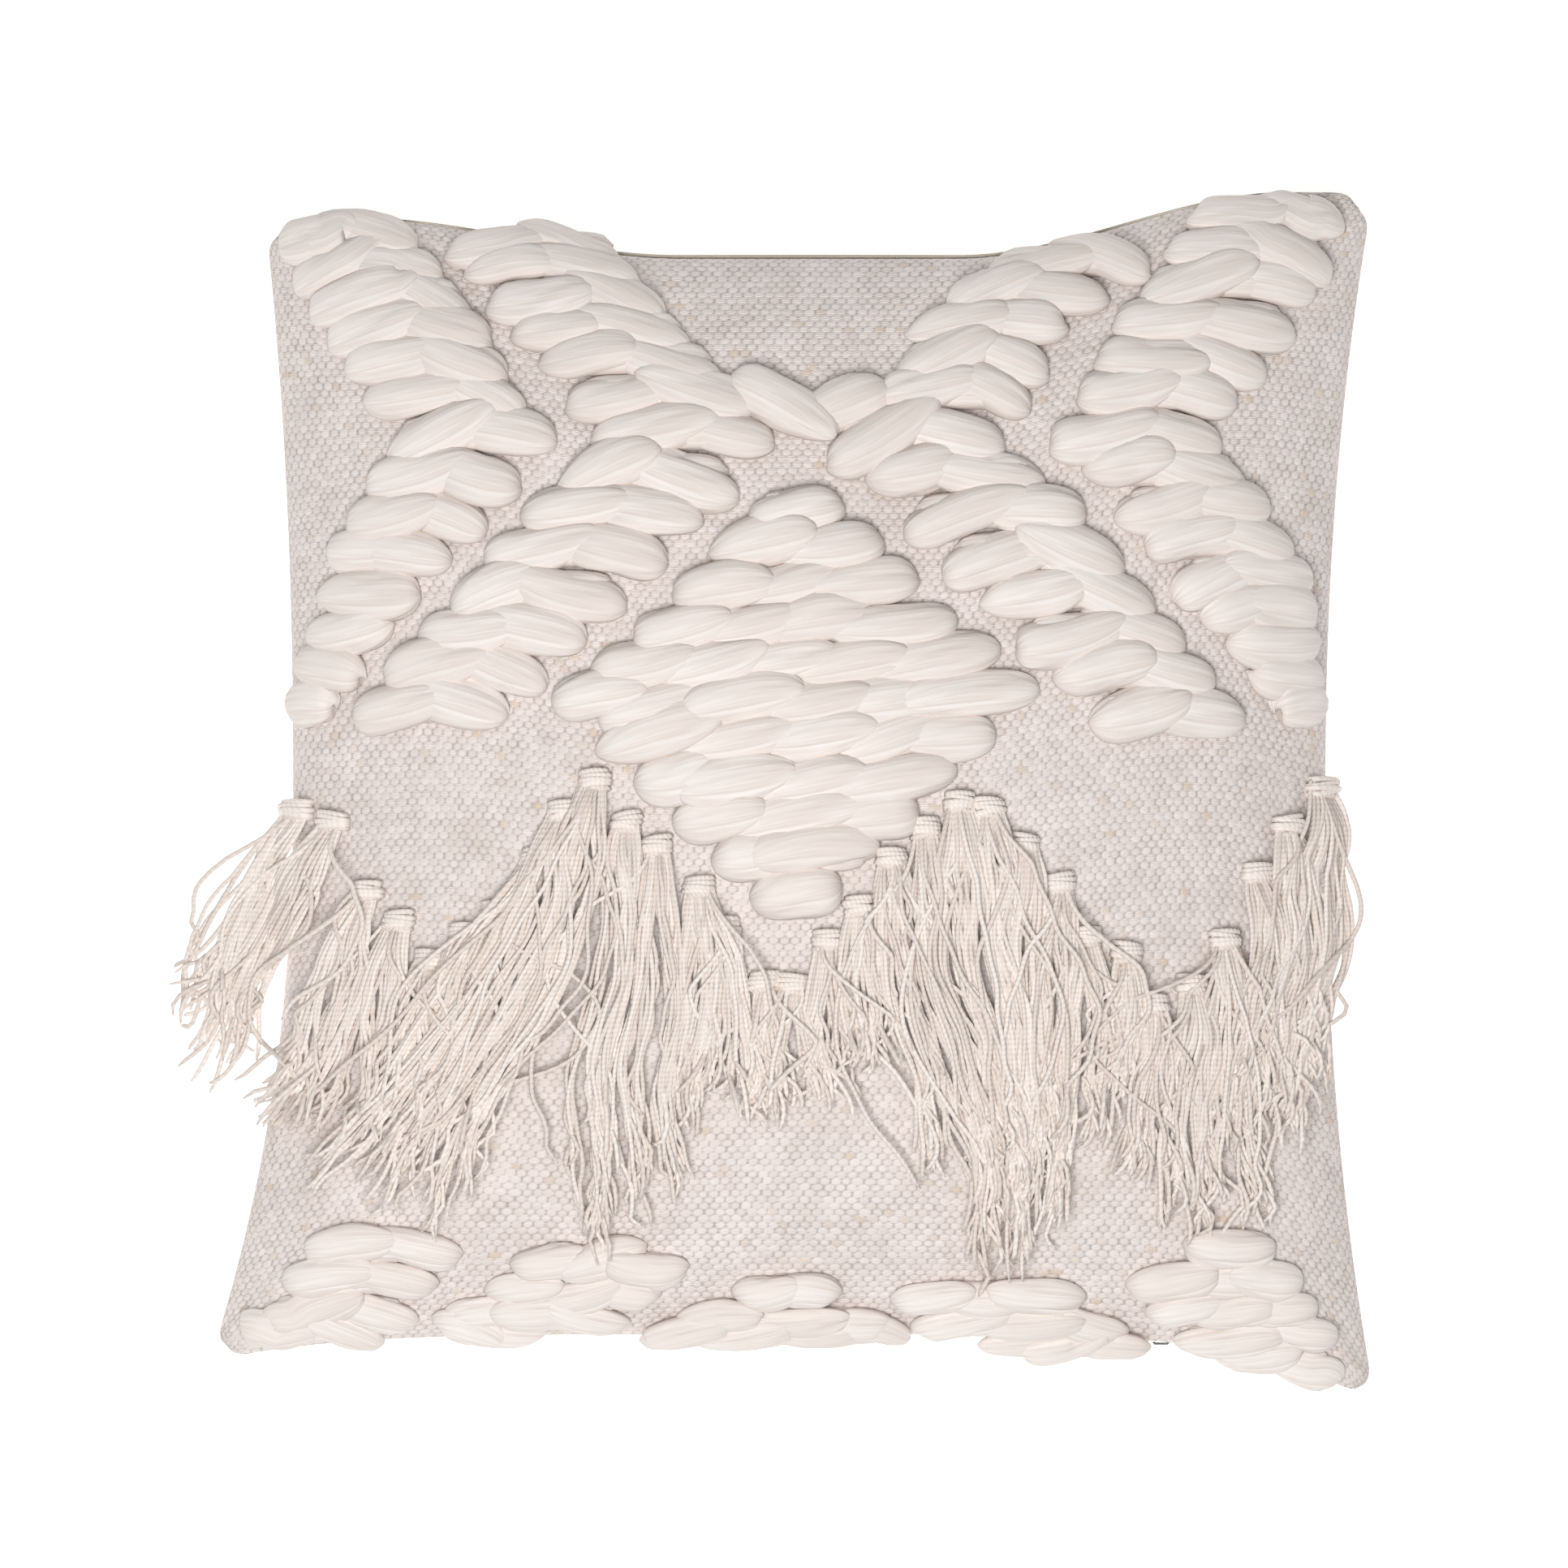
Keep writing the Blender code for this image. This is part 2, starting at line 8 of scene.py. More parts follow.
import bpy
import numpy as np
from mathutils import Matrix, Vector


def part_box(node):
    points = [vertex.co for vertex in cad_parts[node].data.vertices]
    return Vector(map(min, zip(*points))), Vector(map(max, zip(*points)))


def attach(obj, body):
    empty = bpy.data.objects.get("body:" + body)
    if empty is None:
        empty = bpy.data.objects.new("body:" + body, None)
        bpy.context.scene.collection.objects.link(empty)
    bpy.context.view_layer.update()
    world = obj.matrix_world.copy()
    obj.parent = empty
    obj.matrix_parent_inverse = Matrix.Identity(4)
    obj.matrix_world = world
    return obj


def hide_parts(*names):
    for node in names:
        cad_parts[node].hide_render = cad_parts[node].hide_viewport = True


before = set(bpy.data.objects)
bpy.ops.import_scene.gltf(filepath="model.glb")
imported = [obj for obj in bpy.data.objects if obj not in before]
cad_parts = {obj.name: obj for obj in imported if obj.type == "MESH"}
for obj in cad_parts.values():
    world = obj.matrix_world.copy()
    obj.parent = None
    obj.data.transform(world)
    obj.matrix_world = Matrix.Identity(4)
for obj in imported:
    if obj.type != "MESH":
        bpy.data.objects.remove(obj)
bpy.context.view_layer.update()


# ---- The cover's shape ------------------------------------------------------------------------------
# A square bag sewn from two cloths and stuffed. The stuffing swells both faces, the seam round the four
# sides stays thin, and the corners are drawn out. The outline and the crown come first, and then the
# cloth is blown up a little by simulation, as the insert does it, with the seam held still.

# How far the simulation may move a point. The front's crown leaves room for it.
SWELL_CAP = 0.007
SEAM_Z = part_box("zipper_slider")[0][2] / 2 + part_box("zipper_slider")[1][2] / 2
CROWN_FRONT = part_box("front_panel")[1][2] - SEAM_Z - SWELL_CAP
CROWN_BACK = 0.078
FULLNESS = 0.5

# Where the middle of each edge lies, and how far each corner is drawn out past it, in x and y.
EDGE_LEFT, EDGE_RIGHT, EDGE_BOTTOM, EDGE_TOP = -0.199, 0.210, -0.215, 0.211
CORNER_TOP_LEFT = (0.011, 0.016)
CORNER_TOP_RIGHT = (0.019, 0.026)
CORNER_BOTTOM_LEFT = (0.033, 0.011)
CORNER_BOTTOM_RIGHT = (0.020, 0.028)
# The powers by which the sides and the bottom bend, and where along |u| the top rises, and for how long.
SIDE_POWER, BOTTOM_POWER = 2.2, 5
TOP_RISE_START, TOP_RISE_LENGTH = 0.25, 0.6
# How far a corner is drawn back, and how near to 2 |u| + |v| must be for that.
CORNER_ROUNDING, CORNER_REACH = 0.007, 0.07

GRID = 80
PRESSURE = 4
SIMULATED_STEPS = 20

# The seam's gap, the wider gap over the zip as a share of the bottom edge, and the back cloth's turning,
# which shows past the front cloth in the middle of the top edge.
SEAM_GAP, ZIP_GAP = 0.0004, 0.0064
ZIP_STRAIGHT, ZIP_END = 0.80, 0.92
TURNING = 0.0016
# The gap and the turning fade away from the seam by this power.
SEAM_POWER = 40


def outline(u, v):
    """Plan position at u, v in -1..1, between four edges.

    The sides bend outwards by a power of v, the bottom by a power of u, and the top rises to its corners
    by a smooth step of u. Near a corner the point is drawn back, which rounds it.
    """
    bend = np.abs(v) ** SIDE_POWER
    left = EDGE_LEFT - bend * np.where(v > 0, CORNER_TOP_LEFT[0], CORNER_BOTTOM_LEFT[0])
    right = EDGE_RIGHT + bend * np.where(v > 0, CORNER_TOP_RIGHT[0], CORNER_BOTTOM_RIGHT[0])
    step = np.clip((np.abs(u) - TOP_RISE_START) / TOP_RISE_LENGTH, 0, 1)
    top = EDGE_TOP + step**2 * (3 - 2 * step) * np.where(u > 0, CORNER_TOP_RIGHT[1], CORNER_TOP_LEFT[1])
    low = np.abs(u) ** BOTTOM_POWER
    bottom = EDGE_BOTTOM - low * np.where(u > 0, CORNER_BOTTOM_RIGHT[1], CORNER_BOTTOM_LEFT[1])
    near = np.clip((np.abs(u) + np.abs(v) - (2 - CORNER_REACH)) / CORNER_REACH, 0, 1) ** 2 * CORNER_ROUNDING
    x = left + (right - left) * (u + 1) / 2 - np.sign(u) * near
    y = bottom + (top - bottom) * (v + 1) / 2 - np.sign(v) * near
    return x, y


def swell(u, v):
    """The crown's height share: a power of (1 - u squared)(1 - v squared)."""
    return np.maximum((1 - u**2) * (1 - v**2), 0) ** FULLNESS


def grid_faces(rows, columns, start=0):
    """Corner indices of the quads of a grid of points, anticlockwise seen from the front."""
    i, j = np.meshgrid(np.arange(rows - 1), np.arange(columns - 1), indexing="ij")
    a = (start + i * columns + j).ravel()
    return np.stack([a, a + 1, a + columns + 1, a + columns], axis=1)


def new_piece(name, points, quads, triangles=(), body="root"):
    """A smooth mesh object from arrays of points, of quads and of triangles, riding on a body."""
    triangles = np.asarray(triangles, int).reshape(-1, 3)
    corners = np.concatenate([quads.ravel(), triangles.ravel()]).astype(np.int32)
    starts = np.concatenate([np.arange(len(quads)) * 4, quads.size + np.arange(len(triangles)) * 3])
    data = bpy.data.meshes.new(name)
    data.vertices.add(len(points))
    data.vertices.foreach_set("co", np.asarray(points, np.float32).ravel())
    data.loops.add(len(corners))
    data.loops.foreach_set("vertex_index", corners)
    data.polygons.add(len(starts))
    data.polygons.foreach_set("loop_start", starts.astype(np.int32))
    data.update(calc_edges=True)
    data.shade_smooth()
    obj = bpy.data.objects.new(name, data)
    bpy.context.scene.collection.objects.link(obj)
    if body:
        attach(obj, body)
    return obj


def bag_mesh(front, back):
    """Points and outward quads of a closed bag from two grids that share their rim, and both indices."""
    size = len(front)
    index = np.arange(size * size).reshape(size, size)
    rim = np.zeros((size, size), bool)
    rim[[0, -1], :] = rim[:, [0, -1]] = True
    back_index = np.where(rim, index, size * size + np.cumsum(~rim).reshape(size, size) - 1)
    points = np.concatenate([front.reshape(-1, 3), back[~rim]])
    faces = grid_faces(size, size)
    return points, np.concatenate([faces, back_index.ravel()[faces][:, ::-1]]), index, back_index


def inflated(front, back):
    """Both faces after a cloth simulation under pressure with the rim held, each move kept under a cap."""
    points, faces, index, back_index = bag_mesh(front, back)
    bag = new_piece("cover_bag", points, faces, body=None)
    held = bag.vertex_groups.new(name="seam")
    held.add(np.unique(index[index == back_index]).tolist(), 1.0, "REPLACE")
    settings = bag.modifiers.new("Cloth", "CLOTH").settings
    settings.quality = 6
    settings.tension_stiffness = settings.compression_stiffness = 12
    settings.bending_stiffness = 1.2
    settings.vertex_group_mass = "seam"
    settings.use_pressure = True
    settings.uniform_pressure_force = PRESSURE
    settings.effector_weights.gravity = 0
    for step in range(1, SIMULATED_STEPS + 1):
        bpy.context.scene.frame_set(step)
    evaluated = bag.evaluated_get(bpy.context.evaluated_depsgraph_get())
    moved = np.empty(len(points) * 3, np.float32)
    evaluated.data.vertices.foreach_get("co", moved)
    bpy.context.scene.frame_set(1)
    move = moved.reshape(-1, 3) - points
    length = np.linalg.norm(move, axis=1, keepdims=True)
    points = points + move * (SWELL_CAP / (SWELL_CAP + length))
    bpy.data.objects.remove(bag, do_unlink=True)
    return points[index], points[back_index]


# Grid lines lie closer together near the seam, at sines of even steps.
spaced = np.sin(np.linspace(-np.pi / 2, np.pi / 2, GRID + 1))
v_grid, u_grid = np.meshgrid(spaced, spaced, indexing="ij")
x_grid, y_grid = outline(u_grid, v_grid)
front_shape = np.stack([x_grid, y_grid, SEAM_Z + CROWN_FRONT * swell(u_grid, v_grid)], axis=-1)
back_shape = np.stack([x_grid, y_grid, SEAM_Z - CROWN_BACK * swell(u_grid, v_grid)], axis=-1)
# The back lies flat on the floor in its middle.
back_shape[..., 2] = np.maximum(back_shape[..., 2], 0.0)
front_shape, back_shape = inflated(front_shape, back_shape)
back_shape[..., 2] = np.maximum(back_shape[..., 2], 0.0)

over_zip = np.clip((ZIP_END - np.abs(u_grid)) / (ZIP_END - ZIP_STRAIGHT), 0, 1)
over_zip *= np.clip(-v_grid, 0, 1) ** SEAM_POWER
half_gap = (SEAM_GAP + (ZIP_GAP - SEAM_GAP) * over_zip) / 2
front_shape[..., 2] = SEAM_Z + np.hypot(front_shape[..., 2] - SEAM_Z, half_gap)
back_shape[..., 2] = np.maximum(SEAM_Z - np.hypot(back_shape[..., 2] - SEAM_Z, half_gap), 0.0)
back_shape[..., 1] += TURNING * np.clip(v_grid, 0, 1) ** SEAM_POWER * (1 - u_grid**2)


def cubic_weights(places, count):
    """A matrix that reads count + 1 even samples at fractional places, by Catmull and Rom's cubic."""
    places = np.clip(places, 0, count)
    base = np.clip(np.floor(places).astype(int), 0, count - 1)
    t = places - base
    weights = np.zeros((len(places), count + 1))
    terms = (
        (-1, -0.5 * t + t**2 - 0.5 * t**3),
        (0, 1 - 2.5 * t**2 + 1.5 * t**3),
        (1, 0.5 * t + 2 * t**2 - 1.5 * t**3),
        (2, -0.5 * t**2 + 0.5 * t**3),
    )
    for offset, weight in terms:
        np.add.at(weights, (np.arange(len(places)), np.clip(base + offset, 0, count)), weight)
    return weights


def cloth_steps(shape, axis, count):
    """Places along one axis of the grid that are evenly spaced along the cloth, and the cloth's length."""
    steps = np.linalg.norm(np.diff(shape, axis=axis), axis=-1).mean(axis=1 - axis)
    walked = np.concatenate([[0], np.cumsum(steps)])
    return np.interp(np.linspace(0, walked[-1], count + 1), walked, np.arange(GRID + 1)), walked[-1]


def resampled(shape, rows, columns):
    """The shape on a finer grid, evenly spaced along the cloth, with the cloth's width and height."""
    row_places, height = cloth_steps(shape, 0, rows)
    column_places, width = cloth_steps(shape, 1, columns)
    fine = np.einsum("ai,ijk->ajk", cubic_weights(row_places, GRID), shape)
    return np.einsum("bj,ajk->abk", cubic_weights(column_places, GRID), fine), width, height


def surface_normals(points):
    """Unit normals of a grid of points, from the cross product of its two directions."""
    normals = np.cross(np.gradient(points, axis=1), np.gradient(points, axis=0))
    return normals / np.maximum(np.linalg.norm(normals, axis=-1, keepdims=True), 1e-12)


def rim_of(index):
    """A grid's outer points in order, anticlockwise seen from the front."""
    return np.concatenate([index[0, :-1], index[:-1, -1], index[-1, :0:-1], index[:0:-1, 0]])


def cloth_piece(name, outer, inner, step, front=True):
    """A closed cloth: an outer grid, an inner grid with one point for each step of it, and their rims joined.

    Each inner rim edge is joined to its outer rim edges by a fan of triangles.
    """
    outer_index = np.arange(outer.shape[0] * outer.shape[1]).reshape(outer.shape[:2])
    inner_index = outer_index.size + np.arange(inner.shape[0] * inner.shape[1]).reshape(inner.shape[:2])
    fine, coarse = rim_of(outer_index), rim_of(inner_index)
    edge = np.arange(len(fine))
    fans = np.stack([fine[(edge + 1) % len(fine)], fine, coarse[edge // step]], axis=1)
    after = (np.arange(len(coarse)) + 1) % len(coarse)
    closing = np.stack([coarse, coarse[after], fine[after * step]], axis=1)
    outer_faces = grid_faces(*outer.shape[:2])
    inner_faces = grid_faces(*inner.shape[:2], start=outer_index.size)[:, ::-1]
    quads, triangles = np.concatenate([outer_faces, inner_faces]), np.concatenate([fans, closing])
    if not front:
        quads, triangles = quads[:, ::-1], triangles[:, ::-1]
    return new_piece(name, np.concatenate([outer.reshape(-1, 3), inner.reshape(-1, 3)]), quads, triangles)


def lay_map(obj, name, outer, step):
    """A UV map of a closed cloth, from the places of its outer grid, in metres."""
    places = np.concatenate([outer.reshape(-1, 2), outer[::step, ::step].reshape(-1, 2)])
    corners = np.empty(len(obj.data.loops), np.int32)
    obj.data.loops.foreach_get("vertex_index", corners)
    layer = obj.data.uv_layers.new(name=name)
    layer.data.foreach_set("uv", places[corners].astype(np.float32).ravel())


# ---- The front panel --------------------------------------------------------------------------------
# Handwoven cotton with thick weft floats: each float is 4.3 mm long and 2.7 mm high, made of four fine
# threads side by side, and each row is shifted half a float from the last. The floats are real relief,
# woven into the mesh, and the threads in them are too fine for it and are bump.

FRONT_CLOTH = 0.0018
FLOAT_LENGTH, ROW_HEIGHT = 0.0043, 0.0027
FLOAT_RISE = 0.0012
THREAD_WIDTH = 0.00068
# Mesh points for each float, along it and across it.
SAMPLES = 5
# Half a float's length and height, in floats and in rows.
FLOAT_HALF, ROW_HALF = 0.58, 0.76
# Random numbers for the floats repeat only after this many rows and columns.
FLOAT_PICKS = 256
rng = np.random.default_rng(41)

cloth_width = cloth_steps(front_shape, 1, 1)[1]
cloth_height = cloth_steps(front_shape, 0, 1)[1]
floats_across = round(cloth_width / FLOAT_LENGTH)
float_rows = round(cloth_height / ROW_HEIGHT)
columns, rows = floats_across * SAMPLES, float_rows * SAMPLES
front_fine, cloth_width, cloth_height = resampled(front_shape, rows, columns)
front_normals = surface_normals(front_fine)


def cloth_noise(across_cells, up_cells):
    """Random values on a coarse grid of cells, read at every point of the cloth by the cubic."""
    values = rng.normal(0, 1, (up_cells + 1, across_cells + 1))
    up_weights = cubic_weights(np.linspace(0, up_cells, rows + 1), up_cells)
    across_weights = cubic_weights(np.linspace(0, across_cells, columns + 1), across_cells)
    return up_weights @ values @ across_weights.T


def weave(across, up):
    """Rise, float shade and float tone at cloth places counted in floats across and rows up.

    Each float is half an ellipsoid, a little higher than its row, so that its neighbours' rounded ends
    lie between each other, and the highest one shows. Shade and tone are random numbers for each float.
    """
    best = np.zeros_like(across), np.zeros_like(across), np.zeros_like(across)
    for neighbour in (-1, 0, 1):
        row = np.floor(up).astype(int) + neighbour
        along = across + 0.5 * (row % 2)
        column = np.floor(along).astype(int)
        pick = row % FLOAT_PICKS, column % FLOAT_PICKS
        off = ((along - column - 0.5) / FLOAT_HALF) ** 2 + ((up - row - 0.5) / ROW_HALF) ** 2
        rise = np.sqrt(np.clip(1 - off, 0, 1)) * float_heights[pick]
        found = rise, float_shades[pick], float_tones[pick]
        best = [np.where(rise > best[0], new, old) for new, old in zip(found, best)]
    return best


float_heights = rng.uniform(0.86, 1.10, (FLOAT_PICKS, FLOAT_PICKS))
float_shades = rng.uniform(0, 1, (FLOAT_PICKS, FLOAT_PICKS))
float_tones = rng.uniform(0, 1, (FLOAT_PICKS, FLOAT_PICKS))
row_share, column_share = np.meshgrid(
    np.arange(rows + 1) / SAMPLES, np.arange(columns + 1) / SAMPLES, indexing="ij"
)
wander = 0.16 * cloth_noise(14, 20) + 0.09 * cloth_noise(50, 75)
climb = 0.22 * cloth_noise(9, 12) + 0.07 * cloth_noise(50, 75)
rise, shade, tone = weave(column_share + wander, row_share + climb)
shade = np.clip(0.5 + 0.55 * (shade - 0.5) + 0.14 * cloth_noise(30, 40), 0, 1)
to_seam = np.minimum.reduce([row_share, column_share, float_rows - row_share, floats_across - column_share])
relief = FLOAT_RISE * (rise - 0.6) * np.clip(to_seam / 2, 0, 1)
front_outer = front_fine + front_normals * relief[..., None]
front_inner = (front_fine - front_normals * FRONT_CLOTH)[::SAMPLES, ::SAMPLES]
front_panel = cloth_piece("front_cover_cloth", front_outer, front_inner, SAMPLES)
for name, values in (("rise", rise), ("shade", shade), ("tone", tone)):
    layer = front_panel.data.attributes.new(name, "FLOAT", "POINT")
    values = np.concatenate([values.ravel(), values[::SAMPLES, ::SAMPLES].ravel()])
    layer.data.foreach_set("value", values.astype(np.float32))
cloth_places = np.stack([column_share * FLOAT_LENGTH, row_share * ROW_HEIGHT], axis=-1)
lay_map(front_panel, "cloth", cloth_places, SAMPLES)


def srgb(text):
    """A hex colour as linear red, green, blue and alpha."""
    values = [int(text[i : i + 2], 16) / 255 for i in (0, 2, 4)]
    return (*(c / 12.92 if c <= 0.04045 else ((c + 0.055) / 1.055) ** 2.4 for c in values), 1.0)


def add_node(tree, kind, inputs=None, **settings):
    """Adds a node with its settings. Each input is a value, or another node's output to link."""
    new = tree.nodes.new(kind)
    for key, value in settings.items():
        setattr(new, key, value)
    for key, value in (inputs or {}).items():
        if isinstance(value, bpy.types.NodeSocket):
            tree.links.new(value, new.inputs[key])
        else:
            new.inputs[key].default_value = value
    return new


def new_material(name, **values):
    """A material with a Principled shader, whose uniform values are set on its sockets."""
    material = bpy.data.materials.new(name)
    material.use_nodes = True
    shader = material.node_tree.nodes["Principled BSDF"]
    for key, value in values.items():
        shader.inputs[key.replace("_", " ")].default_value = value
    return material, material.node_tree, shader


# A wave texture's bands repeat every 0.314 / scale.
WAVE_BAND = 0.314

# Handwoven cotton, undyed: dull, a little fuzzy and greige. Painted shade darkens the hollow round each
# float.
woven, tree, shader = new_material("handwoven_cotton", Roughness=0.92, Sheen_Weight=0.12, Sheen_Roughness=0.6)
relief_share = add_node(tree, "ShaderNodeAttribute", attribute_name="rise").outputs["Fac"]
float_shade = add_node(tree, "ShaderNodeAttribute", attribute_name="shade").outputs["Fac"]
float_tone = add_node(tree, "ShaderNodeAttribute", attribute_name="tone").outputs["Fac"]
cloth_place = add_node(tree, "ShaderNodeUVMap", uv_map="cloth").outputs["UV"]
plain_floats = add_node(
    tree, "ShaderNodeMix", {"Factor": float_shade, 6: srgb("E6DBD5"), 7: srgb("F7EDE9")}, data_type="RGBA"
).outputs[2]
# A few floats in a hundred are spun with a tan fibre.
tan_float = add_node(tree, "ShaderNodeMapRange", {"Value": float_tone, "From Min": 0.955, "From Max": 1.0})
tan_share = add_node(tree, "ShaderNodeMath", {0: tan_float.outputs["Result"], 1: 0.6}, operation="MULTIPLY")
floats = add_node(
    tree,
    "ShaderNodeMix",
    {"Factor": tan_share.outputs[0], 6: plain_floats, 7: srgb("DBC2A4")},
    data_type="RGBA",
).outputs[2]
# Painted shade: where the relief is low, in the hollows between floats, the colour darkens to A4968D.
out_of_hollow = add_node(
    tree, "ShaderNodeMapRange", {"Value": relief_share, "From Min": 0.32, "From Max": 0.78}
).outputs["Result"]
colour = add_node(
    tree, "ShaderNodeMix", {"Factor": out_of_hollow, 6: srgb("A4968D"), 7: floats}, data_type="RGBA"
).outputs[2]
tree.links.new(colour, shader.inputs["Base Color"])
threads = add_node(
    tree,
    "ShaderNodeTexWave",
    {
        "Vector": cloth_place,
        "Scale": WAVE_BAND / THREAD_WIDTH,
        "Distortion": 1.5,
        "Detail": 1.0,
        "Detail Scale": 3.0,
    },
    bands_direction="Y",
).outputs["Fac"]
fibre = add_node(
    tree, "ShaderNodeTexNoise", {"Vector": cloth_place, "Scale": 2500.0, "Detail": 3.0}
).outputs["Fac"]
thread_bump = add_node(tree, "ShaderNodeBump", {"Height": threads, "Distance": 0.00016, "Strength": 0.9})
fibre_bump = add_node(
    tree,
    "ShaderNodeBump",
    {"Height": fibre, "Distance": 0.0001, "Strength": 0.6, "Normal": thread_bump.outputs[0]},
)
tree.links.new(fibre_bump.outputs[0], shader.inputs["Normal"])
front_panel.data.materials.append(woven)
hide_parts("front_panel")


# ---- The back panel ---------------------------------------------------------------------------------
# Plain-weave cotton canvas in natural cream, sewn to the front round all four sides. Its threads are
# 0.9 mm apart, and it lies flat where the pillow rests on the floor.

BACK_CLOTH = 0.0009
BACK_CELLS, BACK_STEP = 150, 5
CANVAS_THREAD = 0.0009

back_outer, back_width, back_height = resampled(back_shape, BACK_CELLS, BACK_CELLS)
back_inner = (back_outer + surface_normals(back_outer) * BACK_CLOTH)[::BACK_STEP, ::BACK_STEP]
back_panel = cloth_piece("back_cover_cloth", back_outer, back_inner, BACK_STEP, front=False)
share_v, share_u = np.meshgrid(
    np.linspace(0, back_height, BACK_CELLS + 1), np.linspace(0, back_width, BACK_CELLS + 1), indexing="ij"
)
lay_map(back_panel, "cloth", np.stack([share_u, share_v], axis=-1), BACK_STEP)


def canvas_material(name, light, dark):
    """Plain weave: dull, with a fine even grid of threads and a slow change of tone, as cotton canvas has."""
    material, tree, shader = new_material(name, Roughness=0.95, Sheen_Weight=0.1, Sheen_Roughness=0.6)
    place = add_node(tree, "ShaderNodeUVMap", uv_map="cloth").outputs["UV"]
    bands = {"Vector": place, "Scale": WAVE_BAND / CANVAS_THREAD, "Distortion": 1.0, "Detail": 1.0}
    warp = add_node(tree, "ShaderNodeTexWave", bands, bands_direction="X").outputs["Fac"]
    weft = add_node(tree, "ShaderNodeTexWave", bands, bands_direction="Y").outputs["Fac"]
    crossing = add_node(tree, "ShaderNodeMath", {0: warp, 1: weft}, operation="MULTIPLY").outputs[0]
    patch = add_node(
        tree, "ShaderNodeTexNoise", {"Vector": place, "Scale": 60.0, "Detail": 4.0}
    ).outputs["Fac"]
    threads = add_node(
        tree, "ShaderNodeMix", {"Factor": patch, 6: srgb(dark), 7: srgb(light)}, data_type="RGBA"
    ).outputs[2]
    lit = add_node(tree, "ShaderNodeMapRange", {"Value": crossing, "To Min": 0.70, "To Max": 1.0})
    colour = add_node(
        tree,
        "ShaderNodeMix",
        {"Factor": lit.outputs["Result"], 6: srgb("8F8578"), 7: threads},
        data_type="RGBA",
    ).outputs[2]
    tree.links.new(colour, shader.inputs["Base Color"])
    bump = add_node(tree, "ShaderNodeBump", {"Height": crossing, "Distance": 0.0003, "Strength": 0.9})
    tree.links.new(bump.outputs[0], shader.inputs["Normal"])
    return material


back_panel.data.materials.append(canvas_material("cream_cotton_canvas", "ECE3D3", "DED2BF"))
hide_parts("back_panel")


# ---- The roving motifs ------------------------------------------------------------------------------
# Thick unspun roving, stitched across the front in rows 14.6 mm apart. Between the places where it goes
# down through the cloth it swells into soft spindles, some 50 mm long, and each one leans over the next.
# Soft ridges run along it and gather where it is drawn in.

ROW_PITCH = 0.0146
STITCH = 0.031
OVERLAP = 0.0098
LOBE_WIDTH, LOBE_HEIGHT = 0.0099, 0.0062
LOBE_LEVEL = 0.0036
LOBE_RINGS, LOBE_POINTS = 26, 32
# A lobe's creases: how many, and the least and most of their depth and of their width in radians.
CREASES = 8
CREASE_DEPTHS, CREASE_WIDTHS = (0.04, 0.14), (0.10, 0.22)
# How far an end that lies over its neighbour is raised, and the share of right ends that do.
LAP, OVER_SHARE = 0.0050, 0.72
# How far a lobe's creases turn round it from end to end, in radians.
TWIST = 0.9
# The power that shapes a lobe's end: high is blunt, low is pointed.
BLUNT, POINTED = 3.3, 2.0
# The tube under each row's lobes: half its width, half its height, and the height of its middle.
CORE_WIDTH, CORE_HEIGHT, CORE_LEVEL = 0.0072, 0.0054, 0.0030
CORE_POINTS = 16
# The distance between its rings, and how far inside the row's ends it stops.
CORE_STEP, CORE_INSET = 0.004, 0.004

# Rows at the ends and bends of each arm, as (y, left end, right end). The rows between them follow.
ARMS = {
    "roving_inner_left_upper": ((0.156, -0.090, -0.016), (0.184, -0.113, -0.042), (0.216, -0.138, -0.068)),
    "roving_inner_left_lower": ((0.140, -0.080, -0.008), (0.094, -0.122, -0.050), (0.034, -0.173, -0.112)),
    "roving_inner_right_upper": ((0.156, 0.033, 0.092), (0.184, 0.043, 0.107), (0.209, 0.074, 0.140)),
    "roving_inner_right_lower": ((0.140, 0.012, 0.082), (0.098, 0.053, 0.125), (0.032, 0.114, 0.176)),
    "roving_outer_left_upper": ((0.156, -0.170, -0.106), (0.190, -0.188, -0.122), (0.219, -0.204, -0.148)),
    "roving_outer_left_lower": ((0.140, -0.160, -0.093), (0.088, -0.186, -0.139), (0.034, -0.200, -0.180)),
    "roving_outer_right_upper": ((0.156, 0.110, 0.173), (0.190, 0.126, 0.200), (0.228, 0.156, 0.217)),
    "roving_outer_right_lower": ((0.140, 0.099, 0.167), (0.088, 0.146, 0.203), (0.032, 0.188, 0.209)),
}
ARM_SLANT, ARM_FALL = 0.27, 0.56

# The diamond's rows, with the notches of each.
DIAMOND_TOP, DIAMOND_PITCH = 0.110, 0.0149
DIAMOND_HALVES = (0.019, 0.034, 0.048, 0.063, 0.080, 0.095, 0.078, 0.063, 0.048, 0.033, 0.018)
DIAMOND_NOTCHES = (
    (),
    (-0.001,),
    (-0.017, 0.012),
    (-0.034, -0.006, 0.022),
    (-0.048, -0.020, 0.008, 0.036),
    (-0.067, -0.035, -0.006, 0.022, 0.049),
    (-0.038, -0.006, 0.023, 0.050),
    (-0.037, -0.009, 0.019),
    (-0.020, 0.018),
    (-0.010,),
    (),
)

